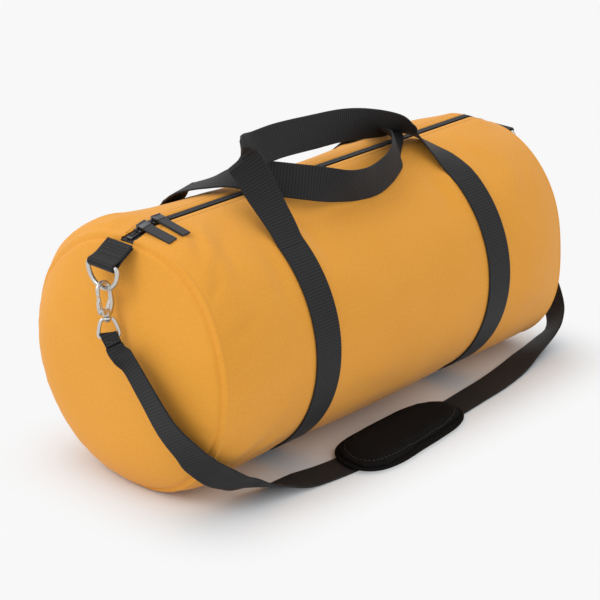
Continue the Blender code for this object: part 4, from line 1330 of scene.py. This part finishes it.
def makeRingTab(side, sign):
    bar = ringBar(sign)
    root = Vector((sign * ringTab["rootX"], 0, ringTab["rootZ"][side]))
    inward = (root - bar).normalized()
    upward = Vector((0, 1, 0)).cross(inward) * sign
    length = (root - bar).length
    path = foldPath(ringSizes["wire"] + bag["gap"], webbing["thickness"], length - ringTab["front"],
                    length - ringTab["back"], foldLayer)
    centres = [bar + inward * a + upward * b for a, b in path]
    obj = foldBand("ringTab." + side, centres, Vector((0, 1, 0)), webbing["width"], ringTab)
    dress(obj, blackWeb, "bag", "webbing", "ring_tab_" + side)
    for row, share in enumerate(ringTab["seams"]):
        spot = bar + inward * (length * share) + upward * foldTop
        line = [spot + Vector((0, y, 0)) for y in (-ringTab["seamHalf"], ringTab["seamHalf"])]
        sewLine("tabStitch.%s.%d" % (side, row), line, [upward], tabStitch, blackThread, "bag", "webbing")


def makeRing(side, sign):
    bar = ringBar(sign)
    half = ringSizes["half"]
    corner = ringSizes["corner"]
    flat = [(-half + corner, 0), (half - corner, 0)]
    for i in range(1, 9):
        turn = math.radians(90 - 11.25 * i)
        flat.append((half - corner + corner * math.cos(turn), -corner + corner * math.sin(turn)))
    for i in range(1, 36):
        turn = math.radians(5 * i)
        flat.append((half * math.cos(turn), -ringSizes["limb"] - half * math.sin(turn)))
    for i in range(8):
        turn = math.radians(180 - 11.25 * i)
        flat.append((-half + corner + corner * math.cos(turn), -corner + corner * math.sin(turn)))
    points = [bar + Vector((0, y, z)) for y, z in flat]
    obj = bentWire("dRing." + side, points, ringSizes["wire"], cyclic=True, fine=7)
    dress(obj, nickel, side + "_ring", "nickel", "d_ring_" + side)


# the hook in its own frame: X across its mouth towards the bag, Z down it
# limb rows are x, z and a share of the wire, profile rows are radius and z, blocks are two corners
hookSizes = dict(reach=0.0063, bowMiddle=0.0016, bowSteps=24, wire=0.0018, grain=0.00022,
                 nose=[(0.0064, 0.85), (0.0034, 0.95), (0.0016, 1.0)],
                 limb=[(0.0063, 0.0016, 1.0), (0.0063, 0.0060, 1.1), (0.0063, 0.0095, 1.3),
                       (0.0060, 0.0130, 1.5), (0.0050, 0.0160, 1.6), (0.0034, 0.0188, 1.7),
                       (0.0014, 0.0212, 1.7)],
                 stem=[(0.0016, 0.0180), (0.0028, 0.0190), (0.0033, 0.0204), (0.0033, 0.0228),
                       (0.0029, 0.0234), (0.0015, 0.0235), (0.0015, 0.0268), (0.0023, 0.0269),
                       (0.0026, 0.0273), (0.0020, 0.0280)],
                 body=((-0.0022, -0.0020, 0.0105), (0.0066, 0.0020, 0.0216)), bodyBevel=0.0009,
                 bodyWaist=0.016,
                 cheekLow=(-0.0070, 0.0168), cheekHigh=(0.0016, 0.0224), cheekGap=0.0018, cheekThick=0.0012,
                 cheekBevel=0.0005,
                 slot=((0.0045, -0.0006, 0.0098), (0.0100, 0.0006, 0.0140)), slotBevel=0.0004)
gateSizes = dict(pivot=(-0.005355, 0.0188), top=0.0069, wire=0.0017,
                 bar=[(0, 0.9), (0.04, 1), (0.3, 1), (0.6, 1.05), (0.85, 1.1), (1, 1.1)],
                 eye=[(0.0011, -0.0012), (0.0016, -0.0009), (0.0016, 0.0009), (0.0011, 0.0012)],
                 lug=((-0.0083, -0.0017, 0.0106), (-0.0047, 0.0017, 0.0168)), lugBevel=0.0006,
                 pinHead=[(0.0007, 0.0034), (0.0012, 0.0032), (0.0012, 0.0030), (0.0008, 0.00298)])


def makeHook(side, sign):
    reach = hookSizes["reach"]
    middle = hookSizes["bowMiddle"]
    rows = [(-reach, z, share) for z, share in hookSizes["nose"]]
    for i in range(1, hookSizes["bowSteps"]):
        turn = math.pi - math.pi * i / hookSizes["bowSteps"]
        rows.append((reach * math.cos(turn), middle - reach * math.sin(turn), 1.0))
    rows += hookSizes["limb"]
    bow = bentWire("bow", [Vector((x, 0, z)) for x, z, share in rows], hookSizes["wire"],
                   [share for x, z, share in rows])
    stem = latheShape("stem", hookSizes["stem"], 32)
    body = bevelBlock("body", *hookSizes["body"], hookSizes["bodyBevel"])
    waist = hookSizes["bodyWaist"]
    shapeWhere(body, lambda co: co.z < waist, scale=(0.42, 0.85, 1), centre=(0.0072, 0, 0.0105))
    shapeWhere(body, lambda co: co.z > waist, scale=(0.72, 1, 1), centre=(0, 0, 0.0216))
    parts = [bow, stem, body]
    lowX, lowZ = hookSizes["cheekLow"]
    highX, highZ = hookSizes["cheekHigh"]
    thick = hookSizes["cheekThick"]
    for inner in (-hookSizes["cheekGap"] - thick, hookSizes["cheekGap"]):
        block = bevelBlock("cheek", (lowX, inner, lowZ), (highX, inner + thick, highZ),
                           hookSizes["cheekBevel"])
        shapeWhere(block, lambda co: co.x < -0.004 and co.z > 0.020, move=(0.0012, 0, -0.0008))
        parts.append(block)
    obj = castTogether("swivelHook." + side, parts, hookSizes["grain"])
    cutter = bevelBlock("cutter", *hookSizes["slot"], hookSizes["slotBevel"])
    applyModifier(obj, "BOOLEAN", operation="DIFFERENCE", object=cutter)
    bpy.data.objects.remove(cutter, do_unlink=True)
    settle(obj, hookPlace(sign))
    smoothShade(obj, 45)
    dress(obj, nickel, side + "_hook", "nickel", "hook_" + side)


def pivotPlace():
    x, z = gateSizes["pivot"]
    return Matrix.Translation((x, 0, z)) @ Matrix.Rotation(math.pi / 2, 4, "X")


def makeGate(side, sign):
    tip = Vector((-hookSizes["reach"], 0, gateSizes["top"]))
    pivot = pivotPlace().translation
    bar = bentWire("bar", [tip.lerp(pivot, t) for t, share in gateSizes["bar"]], gateSizes["wire"],
                   [share for t, share in gateSizes["bar"]])
    eye = latheShape("eye", gateSizes["eye"], 20)
    settle(eye, pivotPlace())
    lug = bevelBlock("lug", *gateSizes["lug"], gateSizes["lugBevel"])
    obj = castTogether("hookGate." + side, [bar, eye, lug], hookSizes["grain"])
    settle(obj, hookPlace(sign))
    dress(obj, nickel, side + "_gate", "nickel", "gate_" + side)


def makeGatePin(side, sign):
    head = gateSizes["pinHead"]
    obj = latheShape("gatePin." + side, [(r, -z) for r, z in head] + [(r, z) for r, z in reversed(head)], 20)
    settle(obj, hookPlace(sign) @ pivotPlace())
    smoothShade(obj, 35)
    dress(obj, nickel, side + "_hook", "nickel", "gate_pin_" + side)


# ring rows are half the eye's width and a share of the way from the collar to its bar
eyeSizes = dict(wire=0.0016, grain=0.00024, collarZ=0.0251, collarRadius=0.0030, collarWire=0.00115,
                collarTall=1.13,
                ring=[(0.0030, 0), (0.0048, 0.06), (0.0061, 0.20), (0.0070, 0.38), (0.0078, 0.58),
                      (0.0084, 0.78), (0.0084, 0.88), (0.0080, 0.96), (0.0070, 1)])


def makeEye(side, sign):
    clearSelection()
    middle = eyeSizes["collarZ"]
    bpy.ops.mesh.primitive_torus_add(major_radius=eyeSizes["collarRadius"],
                                     minor_radius=eyeSizes["collarWire"], major_segments=40,
                                     minor_segments=16, location=(0, 0, middle))
    collar = settle(bpy.context.object)
    shapeWhere(collar, lambda co: True, scale=(1, 1, eyeSizes["collarTall"]), centre=(0, 0, middle))
    fall = hang["eyeDrop"] - middle
    smooth = smoothThrough([Vector((x, 0, middle + share * fall)) for x, share in eyeSizes["ring"]], 5)
    path = smooth + [Vector((-v.x, 0, v.z)) for v in reversed(smooth)]
    loop = bentWire("loop", path, eyeSizes["wire"])
    obj = castTogether("swivelEye." + side, [collar, loop], eyeSizes["grain"])
    settle(obj, eyePlace(sign))
    dress(obj, nickel, side + "_ring", "nickel", "swivel_eye_" + side)


strapEnd = dict(half=0.0068, front=0.0088, back=0.0092, tuckRun=0.0012, tuckLow=0.0004, seamAt=0.0066,
                seamHalf=0.0060)
endStitch = dict(length=0.0024, gap=0.0008, wide=0.0008, high=0.0005)


def makeStrapEnd(side, sign):
    place = tailPlace(sign)
    path = foldPath(eyeSizes["wire"] + bag["gap"], webbing["thickness"], strapEnd["front"], strapEnd["back"],
                    foldLayer)
    path.append((strapEnd["back"] + strapEnd["tuckRun"], -strapEnd["tuckLow"]))
    centres = [place @ Vector((0, b, a)) for a, b in path]
    across = place.to_3x3() @ Vector((1, 0, 0))
    obj = foldBand("strapEnd." + side, centres, across, 2 * strapEnd["half"], webbing)
    dress(obj, blackWeb, side + "_ring", "webbing", "strap_end_" + side)
    up = place.to_3x3() @ Vector((0, 1, 0))
    half = strapEnd["seamHalf"]
    line = [place @ Vector((x, foldTop, strapEnd["seamAt"])) for x in (-half, half)]
    sewLine("endStitch." + side, line, [up], endStitch, blackThread, side + "_ring", "webbing")


for sideName, sideSign in sides.items():
    makeRingTab(sideName, sideSign)
    makeRing(sideName, sideSign)
    makeHook(sideName, sideSign)
    makeGate(sideName, sideSign)
    makeGatePin(sideName, sideSign)
    makeEye(sideName, sideSign)
    makeStrapEnd(sideName, sideSign)
print("rings and hooks made")


# shoulder pad: a foam slip in a knitted cover, blown up by cloth pressure, with a bound edge

pad = dict(outline=[(-79, -90), (-60, -80), (-27, -76.5), (5, -75.5), (29, -75.5), (52, -81), (66, -94),
                    (66, -112), (56, -126), (37, -134.5), (10, -138.5), (-17, -141), (-50, -144), (-74, -140),
                    (-87, -127), (-88, -108)],
           low=0.0024, thick=0.0092, top=0.0136, voxel=0.004, fill=0.7,
           pressure=4.0, stiffness=30, frames=20, cap=0.004,
           coverIn=0.0018, coverLift=0.0006, coverShare=0.62, crownWide=0.016, upperFrom=0.003,
           seamIn=0.0085, seamDip=0.0011, seamWide=0.0016, seamLift=0.00005,
           backIn=0.0008, backThick=0.0022, edgeIn=0.0010, edgeLift=0.0013, edgeWire=0.0011)
padStitch = dict(length=0.0030, gap=0.0010, wide=0.0007, high=0.0004)


def padOutline(shrink, count=120):
    corners = [Vector((x, y, 0)) / 1000 for x, y in pad["outline"]]
    n = len(corners)
    dense = []
    for i in range(n):
        for k in range(24):
            dense.append(splinePoint(corners[i - 1], corners[i], corners[(i + 1) % n], corners[(i + 2) % n],
                                     k / 24))
    loop = dense + dense[:1]
    run = runAlong(loop)
    result = []
    k = 0
    for i in range(count):
        k, t = stepAt(run, run[-1] * i / count, k)
        result.append(loop[k].lerp(loop[k + 1], t))
    inset = []
    for i, spot in enumerate(result):
        along = (result[(i + 1) % count] - result[i - 1]).normalized()
        inset.append(spot + Vector((along.y, -along.x, 0)) * -shrink * outlineTurn(result))
    return inset


def outlineTurn(points):
    total = sum(a.x * b.y - b.x * a.y for a, b in zip(points, points[1:] + points[:1]))
    return 1 if total > 0 else -1


def padSlab(name, outline, low, high):
    count = len(outline)
    points = [Vector((v.x, v.y, z)) for z in (low, high) for v in outline]
    faces = [(i, (i + 1) % count, count + (i + 1) % count, count + i) for i in range(count)]
    faces.append(tuple(range(count)))
    faces.append(tuple(range(count, 2 * count)))
    obj = pointsMesh(name, points, faces)
    faceOutwards(obj)
    return obj


def blowUp(obj):
    pick(obj)
    cloth = obj.modifiers.new("cloth", "CLOTH")
    cloth.settings.use_pressure = True
    cloth.settings.uniform_pressure_force = pad["pressure"]
    cloth.settings.effector_weights.gravity = 0
    cloth.settings.tension_stiffness = pad["stiffness"]
    cloth.settings.compression_stiffness = pad["stiffness"]
    for frameNumber in range(1, pad["frames"] + 1):
        bpy.context.scene.frame_set(frameNumber)
    bpy.ops.object.modifier_apply(modifier="cloth")
    bpy.context.scene.frame_set(1)


def makePad():
    low = pad["low"]
    thick = pad["thick"]
    obj = padSlab("shoulderPad", padOutline(pad["coverIn"]), low + pad["coverLift"],
                  low + thick * pad["coverShare"])
    applyModifier(obj, "REMESH", mode="VOXEL", voxel_size=pad["voxel"])
    rest = [v.co.copy() for v in obj.data.vertices]
    blowUp(obj)
    edge = padOutline(0.0)
    for v, start in zip(obj.data.vertices, rest):
        move = v.co - start
        if move.length > pad["cap"]:
            v.co = start + move * (pad["cap"] / move.length)
        near = min((Vector((v.co.x, v.co.y, 0)) - e).length for e in edge)
        crown = ease(0.0, pad["crownWide"], near)
        if start.z > low + pad["upperFrom"]:
            v.co.z = max(v.co.z, low + thick * (0.42 + 0.58 * crown) * 0.9)
            v.co.z = min(v.co.z, low + thick * (0.45 + 0.75 * crown))
            v.co.z -= pad["seamDip"] * math.exp(-((near - pad["seamIn"]) / pad["seamWide"]) ** 2)
        v.co.z = min(max(v.co.z, low), pad["top"])
    applyModifier(obj, "SUBSURF", levels=1, render_levels=1)
    for v in obj.data.vertices:
        v.co.z = max(v.co.z, low)
    smoothShade(obj, 80)
    dress(obj, padCover, "pad", "pad_cover", "shoulder_pad")
    return obj


def makePadEdge():
    sheet = padSlab("padBacking", padOutline(pad["backIn"]), pad["low"], pad["low"] + pad["backThick"])
    smoothShade(sheet)
    dress(sheet, padCover, "pad", "pad_cover")
    lift = pad["low"] + pad["edgeLift"]
    rim = bentWire("padEdge", [Vector((v.x, v.y, lift)) for v in padOutline(pad["edgeIn"], 160)],
                   pad["edgeWire"], cyclic=True, fine=4)
    dress(rim, padCover, "pad", "pad_cover")


def makePadSeam(obj):
    line = []
    cover = BVHTree.FromPolygons([v.co for v in obj.data.vertices], [p.vertices for p in obj.data.polygons])
    for spot in padOutline(pad["seamIn"], 400):
        where = cover.ray_cast(Vector((spot.x, spot.y, 0.05)), Vector((0, 0, -1)))[0]
        if where is not None:
            line.append(where + Vector((0, 0, pad["seamLift"])))
    ups = [Vector((0, 0, 1))] * len(line)
    sewLine("padStitch", line, ups, padStitch, blackThread, "pad", "pad_cover")


padPiece = makePad()
makePadEdge()
makePadSeam(padPiece)
print("pad made")
